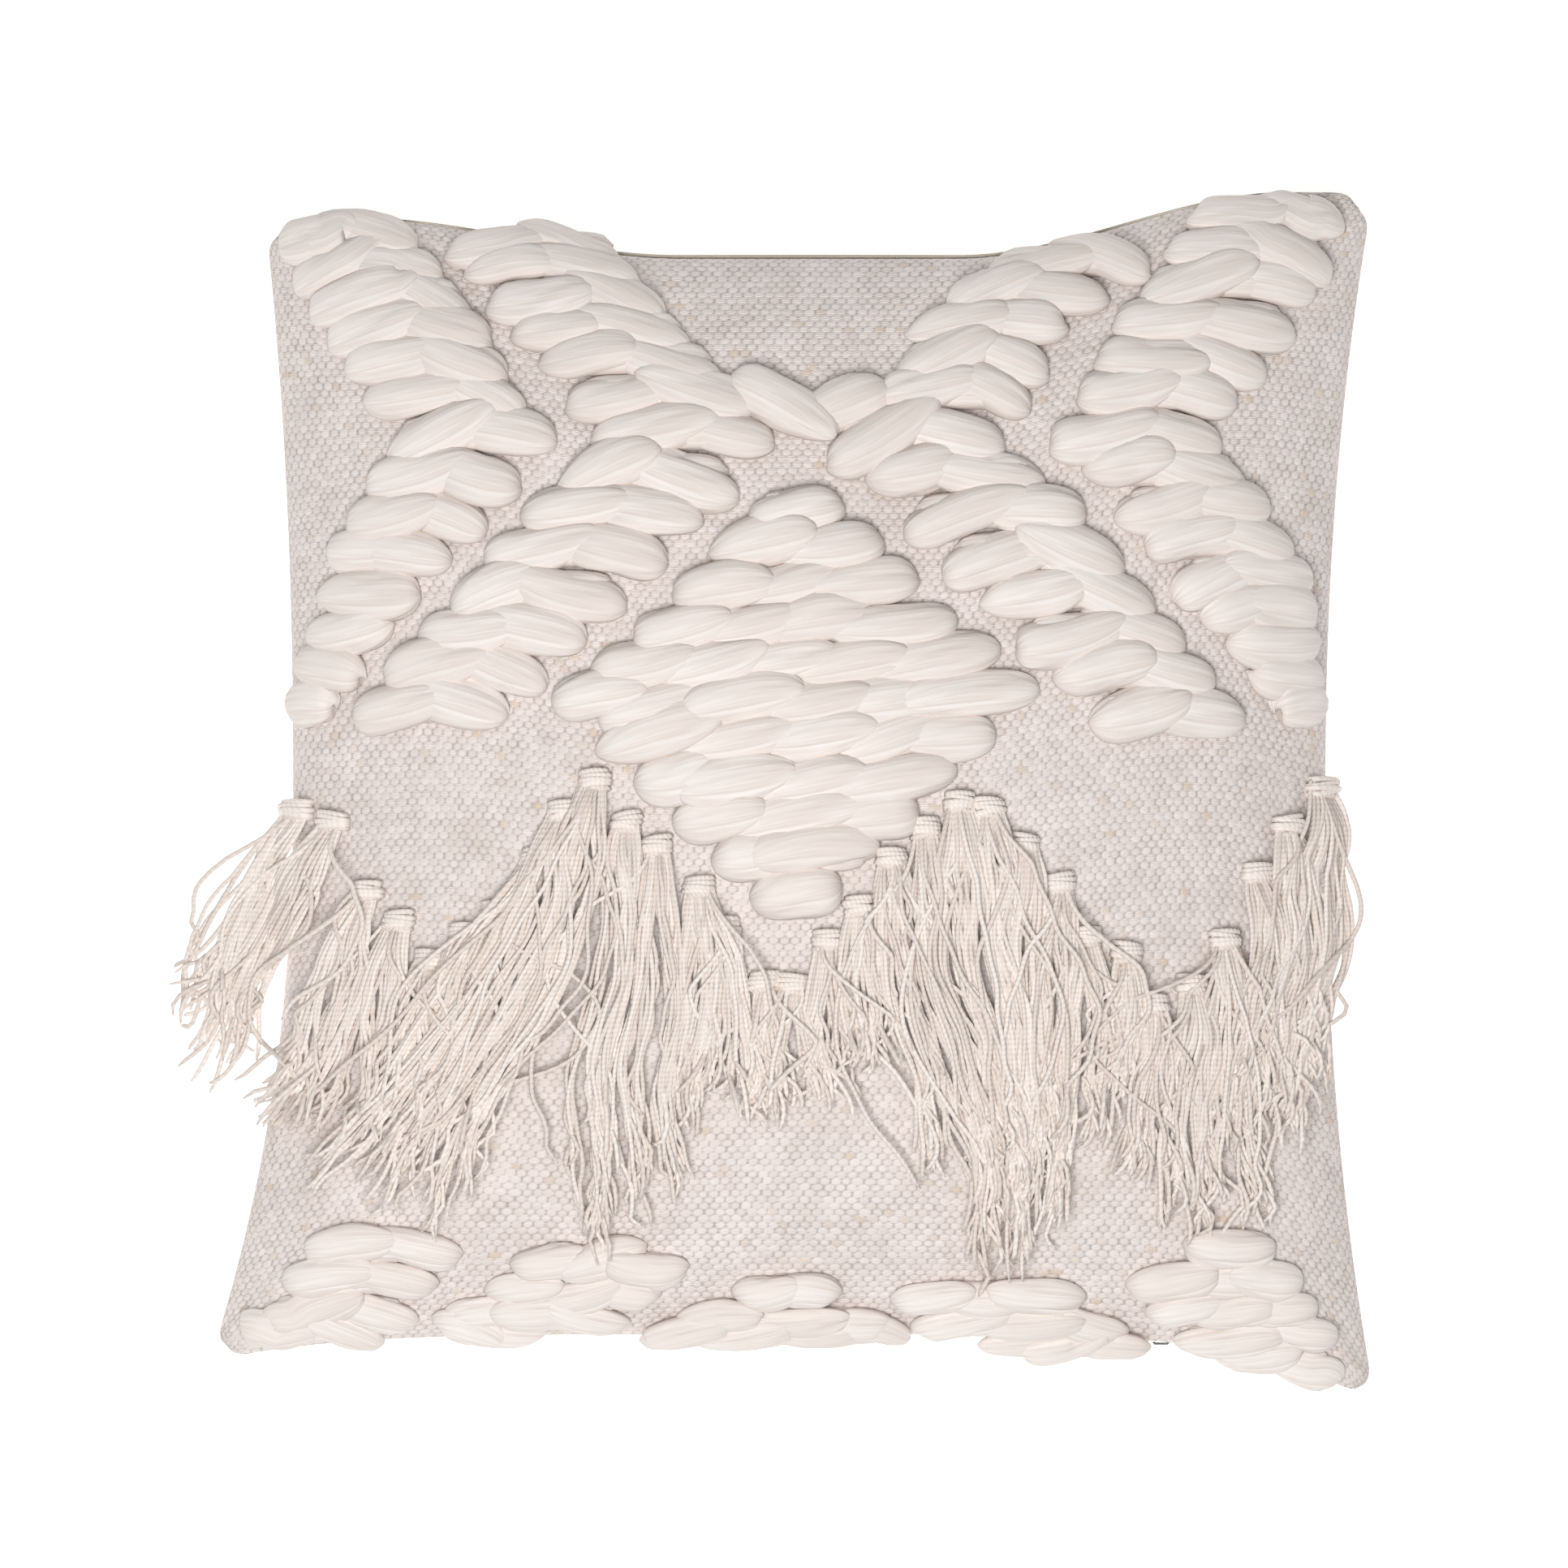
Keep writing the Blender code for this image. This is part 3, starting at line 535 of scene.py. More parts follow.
# The half diamonds on the hem, as rows (y, left end, right end) from the seam up.
HEM = (
    ((-0.212, -0.219, -0.163), (-0.204, -0.210, -0.150), (-0.192, -0.202, -0.141), (-0.179, -0.193, -0.131)),
    ((-0.214, -0.142, -0.100), (-0.206, -0.136, -0.066), (-0.197, -0.122, -0.054), (-0.186, -0.112, -0.042)),
    ((-0.214, -0.061, 0.045), (-0.208, -0.046, 0.036), (-0.197, -0.024, 0.017)),
    ((-0.219, 0.072, 0.140), (-0.210, 0.048, 0.130), (-0.198, 0.038, 0.114)),
    (
        (-0.225, 0.165, 0.216),
        (-0.215, 0.150, 0.214),
        (-0.204, 0.138, 0.206),
        (-0.192, 0.130, 0.200),
        (-0.180, 0.152, 0.189),
    ),
)
# A plan position's grid place is corrected this many times, and stays this many points from the seam.
CORRECTIONS, SEAM_POINTS = 12, 6
# How the roving droops past the cloth's edge: a share of the distance, and a share of its square.
DROOP, DROOP_SQUARED = 0.10, 6.0
rng = np.random.default_rng(7)


def read_grid(grid, row, column):
    """The grid's value between its points, from the four round each place."""
    r, c = np.clip(row, 0, rows - 0.001), np.clip(column, 0, columns - 0.001)
    i, j = np.floor(r).astype(int), np.floor(c).astype(int)
    a, b = (r - i)[..., None], (c - j)[..., None]
    low = grid[i, j] * (1 - b) + grid[i, j + 1] * b
    high = grid[i + 1, j] * (1 - b) + grid[i + 1, j + 1] * b
    return low * (1 - a) + high * a


def on_cloth(x, y):
    """The front cloth's point and normal under plan positions, drooping on past the edge.

    The grid place is found by repeated correction. Past the edge the height falls by a share of the
    distance and of its square.
    """
    x, y = np.asarray(x, float), np.asarray(y, float)
    column = (x - EDGE_LEFT) / (EDGE_RIGHT - EDGE_LEFT) * columns
    row = (y - EDGE_BOTTOM) / (EDGE_TOP - EDGE_BOTTOM) * rows
    for _ in range(CORRECTIONS):
        found = read_grid(front_fine, row, column)
        column = column + (x - found[..., 0]) / (EDGE_RIGHT - EDGE_LEFT) * columns * 0.9
        row = row + (y - found[..., 1]) / (EDGE_TOP - EDGE_BOTTOM) * rows * 0.9
        column = np.clip(column, SEAM_POINTS, columns - SEAM_POINTS)
        row = np.clip(row, SEAM_POINTS, rows - SEAM_POINTS)
    found = read_grid(front_fine, row, column)
    normal = read_grid(front_normals, row, column)
    normal /= np.linalg.norm(normal, axis=-1, keepdims=True)
    past = np.hypot(x - found[..., 0], y - found[..., 1])
    height = found[..., 2] - DROOP * past - DROOP_SQUARED * past**2
    return np.stack([x, y, height], axis=-1), normal


def above_cloth(x, y, level):
    """Points that lie over plan positions at a level above the cloth, and the cloth's normals there."""
    normal = on_cloth(x, y)[1]
    point, normal = on_cloth(x - normal[:, 0] * level, y - normal[:, 1] * level)
    return point + normal * level[:, None], normal


def carried(line, normal, width, height):
    """Rings along a line: at each point an ellipse across it, from its half width and half height."""
    side = np.cross(normal, np.gradient(line, axis=0))
    side /= np.linalg.norm(side, axis=-1, keepdims=True)
    around = np.linspace(-np.pi / 2, 1.5 * np.pi, width.shape[1], endpoint=False)
    rings = line[:, None] + side[:, None] * (width * np.cos(around))[..., None]
    return (rings + normal[:, None] * (height * np.sin(around))[..., None])[:, ::-1]


def tubes_piece(name, tubes, lengths):
    """One object from many tubes, given as arrays of (ring, point round it, xyz), with closed ends.

    Each end closes on its middle with a fan. The UV map runs along the tube in metres, and round it from
    0 to 1. The attribute "tube" holds a random number for each tube.
    """
    points, faces, fans, places, owner = [], [], [], [], []
    start = 0
    for number, (tube, length) in enumerate(zip(tubes, lengths)):
        rings, around = tube.shape[:2]
        i, j = (grid.ravel() for grid in np.meshgrid(np.arange(rings - 1), np.arange(around), indexing="ij"))
        a, b = start + i * around + j, start + i * around + (j + 1) % around
        faces.append(np.stack([a, b, b + around, a + around], axis=1))
        down = np.linspace(0, length, rings)
        low, high, left, right = down[i], down[i + 1], j / around, (j + 1) / around
        along = np.stack([low, low, high, high], axis=1)
        places.append(np.stack([along, np.stack([left, right, right, left], axis=1)], axis=-1).reshape(-1, 2))
        middle = start + rings * around
        points += [tube.reshape(-1, 3), tube[[0, -1]].mean(axis=1)]
        ring = np.arange(around)
        following = (ring + 1) % around
        last = start + (rings - 1) * around
        fans.append(np.stack([np.full(around, middle), start + following, start + ring], axis=1))
        fans.append(np.stack([np.full(around, middle + 1), last + ring, last + following], axis=1))
        owner.append(np.full(rings * around + 2, number))
        start = middle + 2
    points, triangles = np.concatenate(points), np.concatenate(fans)
    obj = new_piece(name, points, np.concatenate(faces), triangles)
    places.append(np.zeros((triangles.size, 2)))
    layer = obj.data.uv_layers.new(name="strand")
    layer.data.foreach_set("uv", np.concatenate(places).astype(np.float32).ravel())
    layer = obj.data.attributes.new("tube", "FLOAT", "POINT")
    shades = np.random.default_rng(len(points)).uniform(0, 1, len(tubes))
    layer.data.foreach_set("value", shades[np.concatenate(owner)].astype(np.float32))
    return obj


def lobe(start, end, blunt_start, blunt_end, over_start, over_end, size, lift, bow):
    """One stitch of roving, as rings of points along the way from start to end.

    At a share t of the way its half width is the square root of 1 - |2t - 1| to a power, which is high
    for a blunt end and low for a pointed one. The cross-section is an ellipse, flatter below, drawn in
    at its creases, which are narrow bells round slowly drifting angles. Its ends go down to the cloth,
    apart from one that lies over its neighbour, which is raised.
    """
    t = (1 - np.cos(np.pi * np.linspace(0.012, 0.988, LOBE_RINGS))) / 2
    fullest = t ** np.exp(rng.normal(0, 0.14))
    power = np.where(fullest < 0.5, BLUNT if blunt_start else POINTED, BLUNT if blunt_end else POINTED)
    profile = np.sqrt(np.maximum(1 - np.abs(2 * fullest - 1) ** power, 0.002))
    x = start[0] + (end[0] - start[0]) * t
    y = start[1] + (end[1] - start[1]) * t + bow * np.sin(np.pi * t)
    level = LOBE_LEVEL * (0.25 + 0.75 * profile) * size + lift * profile
    raised = over_start * np.clip(1 - 2 * t, 0, 1) + over_end * np.clip(2 * t - 1, 0, 1)
    level = level + LAP * size * raised**1.4
    line, normal = above_cloth(x, y, level)
    around = np.linspace(-np.pi / 2, 1.5 * np.pi, LOBE_POINTS, endpoint=False)
    drawn = np.zeros((LOBE_RINGS, LOBE_POINTS))
    for _ in range(CREASES):
        place = rng.uniform(-0.4, np.pi + 0.4) - (TWIST + rng.normal(0, 0.5)) * (t - 0.5)
        place = place + 0.12 * np.sin(5 * t + rng.uniform(0, 6))
        off = (around - place[:, None] + np.pi) % (2 * np.pi) - np.pi
        reach = np.abs(t - rng.choice([0.0, 1.0])) ** 1.2 * rng.uniform(0.5, 1.1)
        depth = rng.uniform(*CREASE_DEPTHS) * np.clip(1 - reach, 0, 1)
        drawn += depth[:, None] * np.exp(-((off / rng.uniform(*CREASE_WIDTHS)) ** 2))
    lump = 1 + 0.035 * np.sin(5 * t[:, None] + 2 * around + rng.uniform(0, 6))
    lump = lump + 0.025 * np.sin(3 * around + rng.uniform(0, 6)) - drawn
    lump = lump + 0.07 * np.sin(6 * t[:, None] + rng.uniform(0, 6)) * np.cos(around)
    width = (LOBE_WIDTH * size * profile)[:, None] * lump
    height = (LOBE_HEIGHT * size * profile)[:, None] * lump * np.where(np.sin(around) < 0, 0.75, 1)
    return carried(line, normal, width, height), math.dist(start, end)


def row_core(y, left, right, scale):
    """The roving that lies under a row's lobes from end to end: a plain low tube, tapered at its ends."""
    x = np.linspace(left + CORE_INSET, right - CORE_INSET, max(8, int((right - left) / CORE_STEP)))
    taper = np.sqrt(1 - np.linspace(-0.999, 0.999, len(x)) ** 6)
    line, normal = above_cloth(x, np.full_like(x, y), CORE_LEVEL * scale * taper)
    round_it = np.ones(CORE_POINTS)
    width, height = (size * scale * taper[:, None] * round_it for size in (CORE_WIDTH, CORE_HEIGHT))
    return carried(line, normal, width, height), right - left


def row_of_lobes(y, left, right, slants, disorder, notches, core, scale):
    """A row's lobes. Each leans by its slant, a rise for each metre, and laps over the next at a notch."""
    count = len(slants)
    edges = np.linspace(left, right, count + 1)
    edges[1:-1] += rng.normal(0, 0.0026, count - 1)
    if notches is not None:
        edges[1:-1] = notches
    made = [row_core(y, left, right, scale)] if core else []
    # Most lobes' right ends lie over the next lobe, and the others go under it.
    over = rng.uniform(0, 1, count + 1) < OVER_SHARE
    for i, slant in enumerate(slants):
        first, last = i == 0, i == count - 1
        x0 = edges[i] - (0 if first else OVERLAP * scale)
        x1 = edges[i + 1] + (0 if last else OVERLAP * scale)
        rise = (slant + rng.normal(0, disorder)) * (x1 - x0) / 2
        middle = y + rng.normal(0, 0.0011)
        start, end = (x0, middle - rise), (x1, middle + rise)
        size, lift, bow = scale * rng.uniform(0.94, 1.10), rng.uniform(-0.0002, 0.0012), rng.normal(0, 0.0011)
        over_start, over_end = not (first or over[i]), over[i + 1] and not last
        made.append(lobe(start, end, first, last, over_start, over_end, size, lift, bow))
    return made


def cloth_levels(bends, middles):
    """The y of each row along a run of bends, a row's pitch apart along the cloth."""
    y = np.linspace(bends[0, 0], bends[-1, 0], 120)
    order = np.argsort(bends[:, 0])
    z = on_cloth(np.interp(y, bends[order, 0], middles[order]), y)[0][:, 2]
    walked = np.concatenate([[0], np.cumsum(np.hypot(np.diff(y), np.diff(z)))])
    count = max(1, round(walked[-1] / ROW_PITCH))
    return np.interp(np.linspace(0, walked[-1], count + 1), walked, y)


# Combed unspun roving: warm white, dull and soft, so that light goes a little way in. Its fibres are
# finer than a hair, and show as long faint streaks.
roving, tree, shader = new_material("unspun_roving", Roughness=0.9, Sheen_Weight=0.06, Sheen_Roughness=0.5)
shader.inputs["Subsurface Weight"].default_value = 0.05
shader.inputs["Subsurface Radius"].default_value = (0.004, 0.003, 0.0024)
place = add_node(tree, "ShaderNodeUVMap", uv_map="strand").outputs["UV"]
broad = add_node(tree, "ShaderNodeMapping", {"Vector": place, "Scale": (22.0, 7.0, 1.0)}).outputs["Vector"]
fine = add_node(tree, "ShaderNodeMapping", {"Vector": place, "Scale": (40.0, 30.0, 1.0)}).outputs["Vector"]
ridges = add_node(
    tree, "ShaderNodeTexNoise", {"Vector": broad, "Scale": 1.0, "Detail": 3.0, "Distortion": 0.4}
).outputs["Fac"]
streaks = add_node(
    tree, "ShaderNodeTexNoise", {"Vector": fine, "Scale": 1.0, "Detail": 4.0, "Distortion": 0.3}
).outputs["Fac"]
per_strand = add_node(tree, "ShaderNodeAttribute", attribute_name="tube").outputs["Fac"]
warm = add_node(
    tree, "ShaderNodeMix", {"Factor": per_strand, 6: srgb("EDE4DE"), 7: srgb("F4ECE7")}, data_type="RGBA"
).outputs[2]
streak_share = add_node(
    tree, "ShaderNodeMapRange", {"Value": streaks, "From Min": 0.30, "From Max": 0.62}
).outputs["Result"]
streaked = add_node(
    tree, "ShaderNodeMix", {"Factor": streak_share, 6: srgb("DFD4CC"), 7: warm}, data_type="RGBA"
).outputs[2]
# Painted shade greys the colour towards the cloth. A share of the way round of a half is the strand's top.
split = add_node(tree, "ShaderNodeSeparateXYZ", {"Vector": place})
off_top = add_node(tree, "ShaderNodeMath", {0: split.outputs[1], 1: 0.5}, operation="SUBTRACT").outputs[0]
off_top = add_node(tree, "ShaderNodeMath", {0: off_top}, operation="ABSOLUTE").outputs[0]
flank_shade = add_node(
    tree, "ShaderNodeMapRange", {"Value": off_top, "From Min": 0.19, "From Max": 0.33, "To Max": 0.75}
).outputs["Result"]
# Painted shade: the lower flanks, between rows, are mixed towards B9ABA1.
colour = add_node(
    tree, "ShaderNodeMix", {"Factor": flank_shade, 6: streaked, 7: srgb("B9ABA1")}, data_type="RGBA"
).outputs[2]
tree.links.new(colour, shader.inputs["Base Color"])
ridge_bump = add_node(tree, "ShaderNodeBump", {"Height": ridges, "Distance": 0.0020, "Strength": 0.75})
streak_bump = add_node(
    tree,
    "ShaderNodeBump",
    {"Height": streaks, "Distance": 0.0003, "Strength": 0.5, "Normal": ridge_bump.outputs[0]},
)
tree.links.new(streak_bump.outputs[0], shader.inputs["Normal"])


def roving_motif(name, motif_rows, slant, fall, disorder=0.13, notches=None, core=True, scale=1.0):
    """One motif as one piece. Its rows' first lobes rise by the slant, and their last fall by the fall."""
    tubes, lengths = [], []
    for i, (y, left, right) in enumerate(motif_rows):
        count = max(1, round((right - left) / (STITCH * scale)))
        if notches:
            count = len(notches[i]) + 1
        slants = np.full(count, slant)
        slants[-1] -= fall if count > 1 else fall / 2
        inner = notches[i] if notches else None
        for rings, length in row_of_lobes(y, left, right, slants, disorder, inner, core, scale):
            tubes.append(rings)
            lengths.append(length)
    piece = tubes_piece(name + "_stitches", tubes, lengths)
    piece.data.materials.append(roving)
    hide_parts(name)


for name, bends in ARMS.items():
    bends = np.array(bends)
    levels = cloth_levels(bends, bends[:, 1:].mean(axis=1))
    order = np.argsort(bends[:, 0])
    lefts, rights = (np.interp(levels, bends[order, 0], bends[order, i]) for i in (1, 2))
    roving_motif(name, list(zip(levels, lefts, rights)), slant=ARM_SLANT, fall=ARM_FALL)
roving_motif("roving_centre_link", [(0.151, -0.026, 0.037)], slant=-0.46, fall=-0.92, core=False)
diamond = [(DIAMOND_TOP - i * DIAMOND_PITCH, -half, half) for i, half in enumerate(DIAMOND_HALVES)]
roving_motif("roving_centre_diamond", diamond, slant=0.21, fall=0.08, disorder=0.05, notches=DIAMOND_NOTCHES)
for number, hem_rows in enumerate(HEM, start=1):
    roving_motif(f"roving_hem_{number}", hem_rows, slant=0.12, fall=0.26, disorder=0.13, scale=0.84)


# ---- The tassels ------------------------------------------------------------------------------------
# Bundles of two-ply cotton yarn, some 2 mm thick, knotted through the weave along a zigzag line. Each
# knot is wrapped in a few turns of the same yarn. Below it the yarns hang down the cloth in four locks
# that twist, sway and cross one another, and fray into curls at their ends.

TASSELS = 32
YARN = 0.0020
YARN_POINTS = 5
YARN_STEPS = 38
KNOT_WIDTH, KNOT_HEIGHT = 0.0116, 0.0080
KNOT_WRAPS = 5
# The plies make a turn in this length.
PLY_TURN = 0.004
# The yarns start this far below the top of their knot, and stay bound as far as its last wrap.
YARN_TOP = 0.0010
LOCKS = 4
# The share of yarns that stray across the others.
STRAY_SHARE = 0.10
# The slow waves that yarns are combed in, as (size, length down the cloth, how far the phase swings, how
# slowly it swings across the cloth, and where the swing starts).
COMBED_WAVES = ((0.0026, 0.120, 1.9, 0.045, 0.0), (0.0008, 0.056, 2.3, 0.030, 1.0))
# A lock's yarns in its cross-section, as places across it and up it, in yarn widths.
LOCK_PLACES = (
    *((-1.5, 0.0), (-0.5, 0.0), (0.5, 0.0), (1.5, 0.0)),
    *((-1.0, 0.8), (0.0, 0.8), (1.0, 0.8)),
    *((-0.4, 1.5), (0.5, 1.5)),
)
# The zigzag that the knots follow, as (share of the width, y).
TASSEL_LINE = np.array(
    (
        (0.012, 0.003),
        (0.140, -0.066),
        (0.297, 0.009),
        (0.477, -0.074),
        (0.656, 0.008),
        (0.843, -0.078),
        (0.990, 0.005),
    )
)
# (share of the width, length, sideways sweep, spread, curl) of the tassels.
TASSEL_SHAPES = np.array(
    (
        (0.012, 0.084, -0.025, 0.010, 1.8),
        (0.044, 0.098, -0.040, 0.011, 1.7),
        (0.076, 0.100, -0.042, 0.012, 1.5),
        (0.108, 0.088, -0.022, 0.011, 1.4),
        (0.140, 0.066, -0.006, 0.011, 1.1),
        (0.190, 0.086, -0.018, 0.011, 1.0),
        (0.235, 0.128, -0.070, 0.012, 1.0),
        (0.280, 0.150, -0.080, 0.014, 1.0),
        (0.305, 0.168, -0.038, 0.013, 0.9),
        (0.335, 0.166, -0.008, 0.012, 0.9),
        (0.375, 0.118, 0.002, 0.011, 0.9),
        (0.413, 0.070, 0.002, 0.012, 1.1),
        (0.477, 0.046, 0.002, 0.014, 1.2),
        (0.545, 0.058, -0.006, 0.014, 1.2),
        (0.580, 0.122, 0.026, 0.011, 0.8),
        (0.620, 0.164, 0.032, 0.012, 0.8),
        (0.656, 0.182, 0.025, 0.012, 0.8),
        (0.695, 0.166, 0.010, 0.012, 0.8),
        (0.735, 0.122, -0.004, 0.012, 0.9),
        (0.780, 0.068, -0.014, 0.012, 1.1),
        (0.815, 0.044, -0.008, 0.012, 1.2),
        (0.843, 0.086, 0.004, 0.010, 0.8),
        (0.880, 0.100, 0.002, 0.011, 0.8),
        (0.916, 0.116, -0.002, 0.011, 0.9),
        (0.990, 0.115, -0.014, 0.010, 1.0),
    )
)


def yarn_tube(path, radius):
    """A round tube along a path, with its rings square to it."""
    tangent = np.gradient(path, axis=0)
    tangent /= np.maximum(np.linalg.norm(tangent, axis=-1, keepdims=True), 1e-9)
    side = np.cross(tangent, np.array([0.0, 0.0, 1.0]))
    side /= np.maximum(np.linalg.norm(side, axis=-1, keepdims=True), 1e-6)
    over = np.cross(side, tangent)
    around = np.linspace(0, 2 * np.pi, YARN_POINTS, endpoint=False)[:, None]
    ring = side[:, None] * np.cos(around) + over[:, None] * np.sin(around)
    return path[:, None] + ring * np.broadcast_to(radius, len(path))[:, None, None]


def combed(x, y):
    """How far sideways the yarns are combed at a place: two slow waves down the cloth.

    Their phases change slowly across it, so that neighbours bend together, and part or crowd in places.
    """
    return sum(
        size * np.sin(2 * np.pi * y / length + swing * np.sin(x / reach + start))
        for size, length, swing, reach, start in COMBED_WAVES
    )


def tassel(number, share, rng):
    """One tassel's yarns and the wraps of its knot.

    The yarns of a lock keep their places in its cross-section, which turns slowly on the way down. A
    lock's middle leans by a power of the way down and sways by sines of it. Each yarn adds a small wave
    of its own, and a curl that grows towards its end. A few yarns stray across the others.
    """
    x = EDGE_LEFT + share * (EDGE_RIGHT - EDGE_LEFT) + rng.normal(0, 0.0012)
    y = np.interp(share, TASSEL_LINE[:, 0], TASSEL_LINE[:, 1]) + rng.normal(0, 0.0030)
    length, sweep, spread, curl = (
        np.interp(share, TASSEL_SHAPES[:, 0], TASSEL_SHAPES[:, i]) for i in (1, 2, 3, 4)
    )
    length = length * rng.uniform(0.92, 1.06)
    places = np.array(LOCK_PLACES)
    lock = np.repeat(np.arange(LOCKS), len(places))[:, None]
    across, up = (np.tile(places[:, i], LOCKS)[:, None] for i in (0, 1))
    count = len(lock)
    down = np.linspace(0, 1, YARN_STEPS)[None, :]
    metres = down * length

    def each_lock(spreading):
        """One random number for each lock, given to each of its yarns."""
        return rng.normal(0, spreading, LOCKS)[lock]

    def each_yarn(spreading):
        """One random number for each yarn."""
        return rng.normal(0, spreading, (count, 1))

    def phases(size):
        """A random angle for each of a number of locks or yarns."""
        return rng.uniform(0, 2 * np.pi, size)

    lock_share = (lock - (LOCKS - 1) / 2) / ((LOCKS - 1) / 2)
    lock_phase, slow_phase = phases(LOCKS)[lock], phases(LOCKS)[lock]
    reach = length * (1 + each_lock(0.05) + each_yarn(0.05) - np.abs(each_yarn(0.04)))
    stray = (rng.uniform(0, 1, (count, 1)) < STRAY_SHARE) * 1.0
    reach = reach * (1 - 0.3 * stray * rng.uniform(0, 1, (count, 1)))
    # The lock's middle.
    below = np.maximum(metres - (KNOT_HEIGHT - YARN_TOP) * 0.8, 0)
    open_up = np.clip(below / 0.028, 0, 1)
    bound = KNOT_WIDTH * 0.25
    middle = lock_share * (bound + (spread * 0.72 - bound) * open_up * (0.6 + 0.4 * down))
    lean = (sweep + each_lock(0.0045 + 0.05 * abs(sweep))) * down**1.25
    sway = each_lock(0.0011) * (np.sin(metres / 0.016 + lock_phase) - np.sin(lock_phase))
    sway = sway + each_lock(0.0026) * (np.sin(metres / 0.034 + slow_phase) - np.sin(slow_phase))
    sway = sway * open_up * min(1.0, length / 0.10) * (0.6 + 0.4 * curl)
    # The yarn's place in the lock, which turns and gapes.
    turn = each_lock(0.55) + each_lock(1.3) * down * length / 0.10
    gape = 1 + 0.25 * np.sin(metres / 0.02 + lock_phase) * open_up + 0.5 * np.clip(down - 0.6, 0, 1)
    packed = 0.66 + 0.26 * np.clip(below / 0.008, 0, 1)
    lateral = YARN * packed * (across * np.cos(turn) - 0.75 * up * np.sin(turn)) * gape
    raised = YARN * (up * 0.85 + 0.35 * across * np.sin(turn)) * (1 - 0.35 * down)
    # Its own waves, its straying, and the curl of its end.
    wave = each_yarn(0.00040) * np.sin(metres / 0.0042 + phases((count, 1)))
    wave = wave + each_yarn(0.00080) * np.sin(metres / 0.0095 + phases((count, 1)))
    frayed = np.clip((down - 0.68) / 0.32, 0, 1) ** 1.4 * curl
    turns = rng.uniform(0.0026, 0.0062, (count, 1))
    curl_phase = phases((count, 1))
    curls = frayed * (np.abs(each_yarn(0.0026)) * np.sin(metres / turns + curl_phase) + each_yarn(0.0030))
    astray = stray * each_yarn(0.016)
    astray = astray * np.sin(np.pi * np.clip(down * rng.uniform(0.6, 1.0, (count, 1)), 0, 1)) ** 2
    px = x + middle + lean + sway + lateral + (wave + curls + astray) * open_up
    py = y - YARN_TOP - (reach - YARN_TOP) * down
    px = px + (combed(px, py) - combed(x, y)) * np.clip(metres / 0.05, 0, 1)
    py = py + frayed * np.abs(each_yarn(0.0022)) * np.cos(metres / turns + curl_phase)
    point, normal = on_cloth(px, py)
    bulge = 0.0026 * np.sin(np.pi * np.clip(below / 0.030, 0, 1)) + 0.0012 * open_up
    lift = YARN * 0.6 + 0.0006 + raised * (0.40 + 0.60 * open_up) + bulge * (1 + 0.4 * (1 - lock_share**2))
    lift = lift + frayed * np.abs(each_yarn(0.0022)) * (1 + np.sin(metres / turns + curl_phase))
    lift = lift + 0.0030 * stray * np.sin(np.pi * down)
    # A lock that starts higher, or sweeps further, lies over its neighbours.
    over_others = 0.0034 * (y + 0.08) / 0.09 + 0.05 * max(0.0, abs(sweep) - 0.03)
    lift = lift + over_others * np.clip(metres / 0.04, 0, 1)
    path = point + normal * np.maximum(lift, YARN * 0.5)[..., None]
    tubes, lengths = [], []
    for k in range(count):
        thick = YARN / 2 * rng.uniform(0.88, 1.06) * np.clip((1.02 - down[0]) / 0.05, 0.35, 1)
        tubes.append(yarn_tube(path[k], thick))
        lengths.append(reach[k, 0])
    # The wraps arch over the bundle from side to side.
    over = np.linspace(-1, 1, 17)
    for k in range(KNOT_WRAPS):
        off_middle = abs(k - (KNOT_WRAPS - 1) / 2)
        px = x + over * KNOT_WIDTH / 2 * (1 - 0.05 * off_middle) + rng.normal(0, 0.0003)
        py = y - (k + 0.5) / KNOT_WRAPS * KNOT_HEIGHT + 0.0005 * over * rng.normal() - 0.0006 * over**2
        point, normal = on_cloth(px, py)
        arch = (0.0058 - 0.0005 * off_middle) * np.clip(1 - over**2, 0, 1) ** 0.45
        tubes.append(yarn_tube(point + normal * (arch + 0.0004)[:, None], YARN / 2 * 1.22))
        lengths.append(KNOT_WIDTH * 1.3)
    piece = tubes_piece(f"tassel_{number:02d}_yarns", tubes, lengths)
    piece.data.materials.append(yarn)
    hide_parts(f"tassel_{number:02d}")


# Two-ply cotton yarn, undyed: dull and hairy, with bands that slant across the strand where its two
# plies turn once in 4 mm. Painted shade darkens its colour a little between the plies.
yarn, tree, shader = new_material("two_ply_cotton_yarn", Roughness=0.9, Sheen_Weight=0.2, Sheen_Roughness=0.5)
place = add_node(tree, "ShaderNodeUVMap", uv_map="strand").outputs["UV"]
per_yarn = add_node(tree, "ShaderNodeAttribute", attribute_name="tube").outputs["Fac"]
plies = add_node(
    tree, "ShaderNodeMapping", {"Vector": place, "Scale": (2 / PLY_TURN, 2.0, 1.0)}
).outputs["Vector"]
split = add_node(tree, "ShaderNodeSeparateXYZ", {"Vector": plies})
slanting = add_node(
    tree, "ShaderNodeMath", {0: split.outputs[0], 1: split.outputs[1]}, operation="ADD"
).outputs[0]
angle = add_node(tree, "ShaderNodeMath", {0: slanting, 1: 2 * math.pi}, operation="MULTIPLY").outputs[0]
bands = add_node(tree, "ShaderNodeMath", {0: angle}, operation="SINE").outputs[0]
undyed = add_node(
    tree, "ShaderNodeMix", {"Factor": per_yarn, 6: srgb("E4D8CF"), 7: srgb("F6EDE6")}, data_type="RGBA"
).outputs[2]
# Painted shade: the colour darkens to A99A90 in the grooves between the plies.
between = add_node(
    tree, "ShaderNodeMapRange", {"Value": bands, "From Min": -1.0, "From Max": 0.2, "To Min": 0.86}
).outputs["Result"]
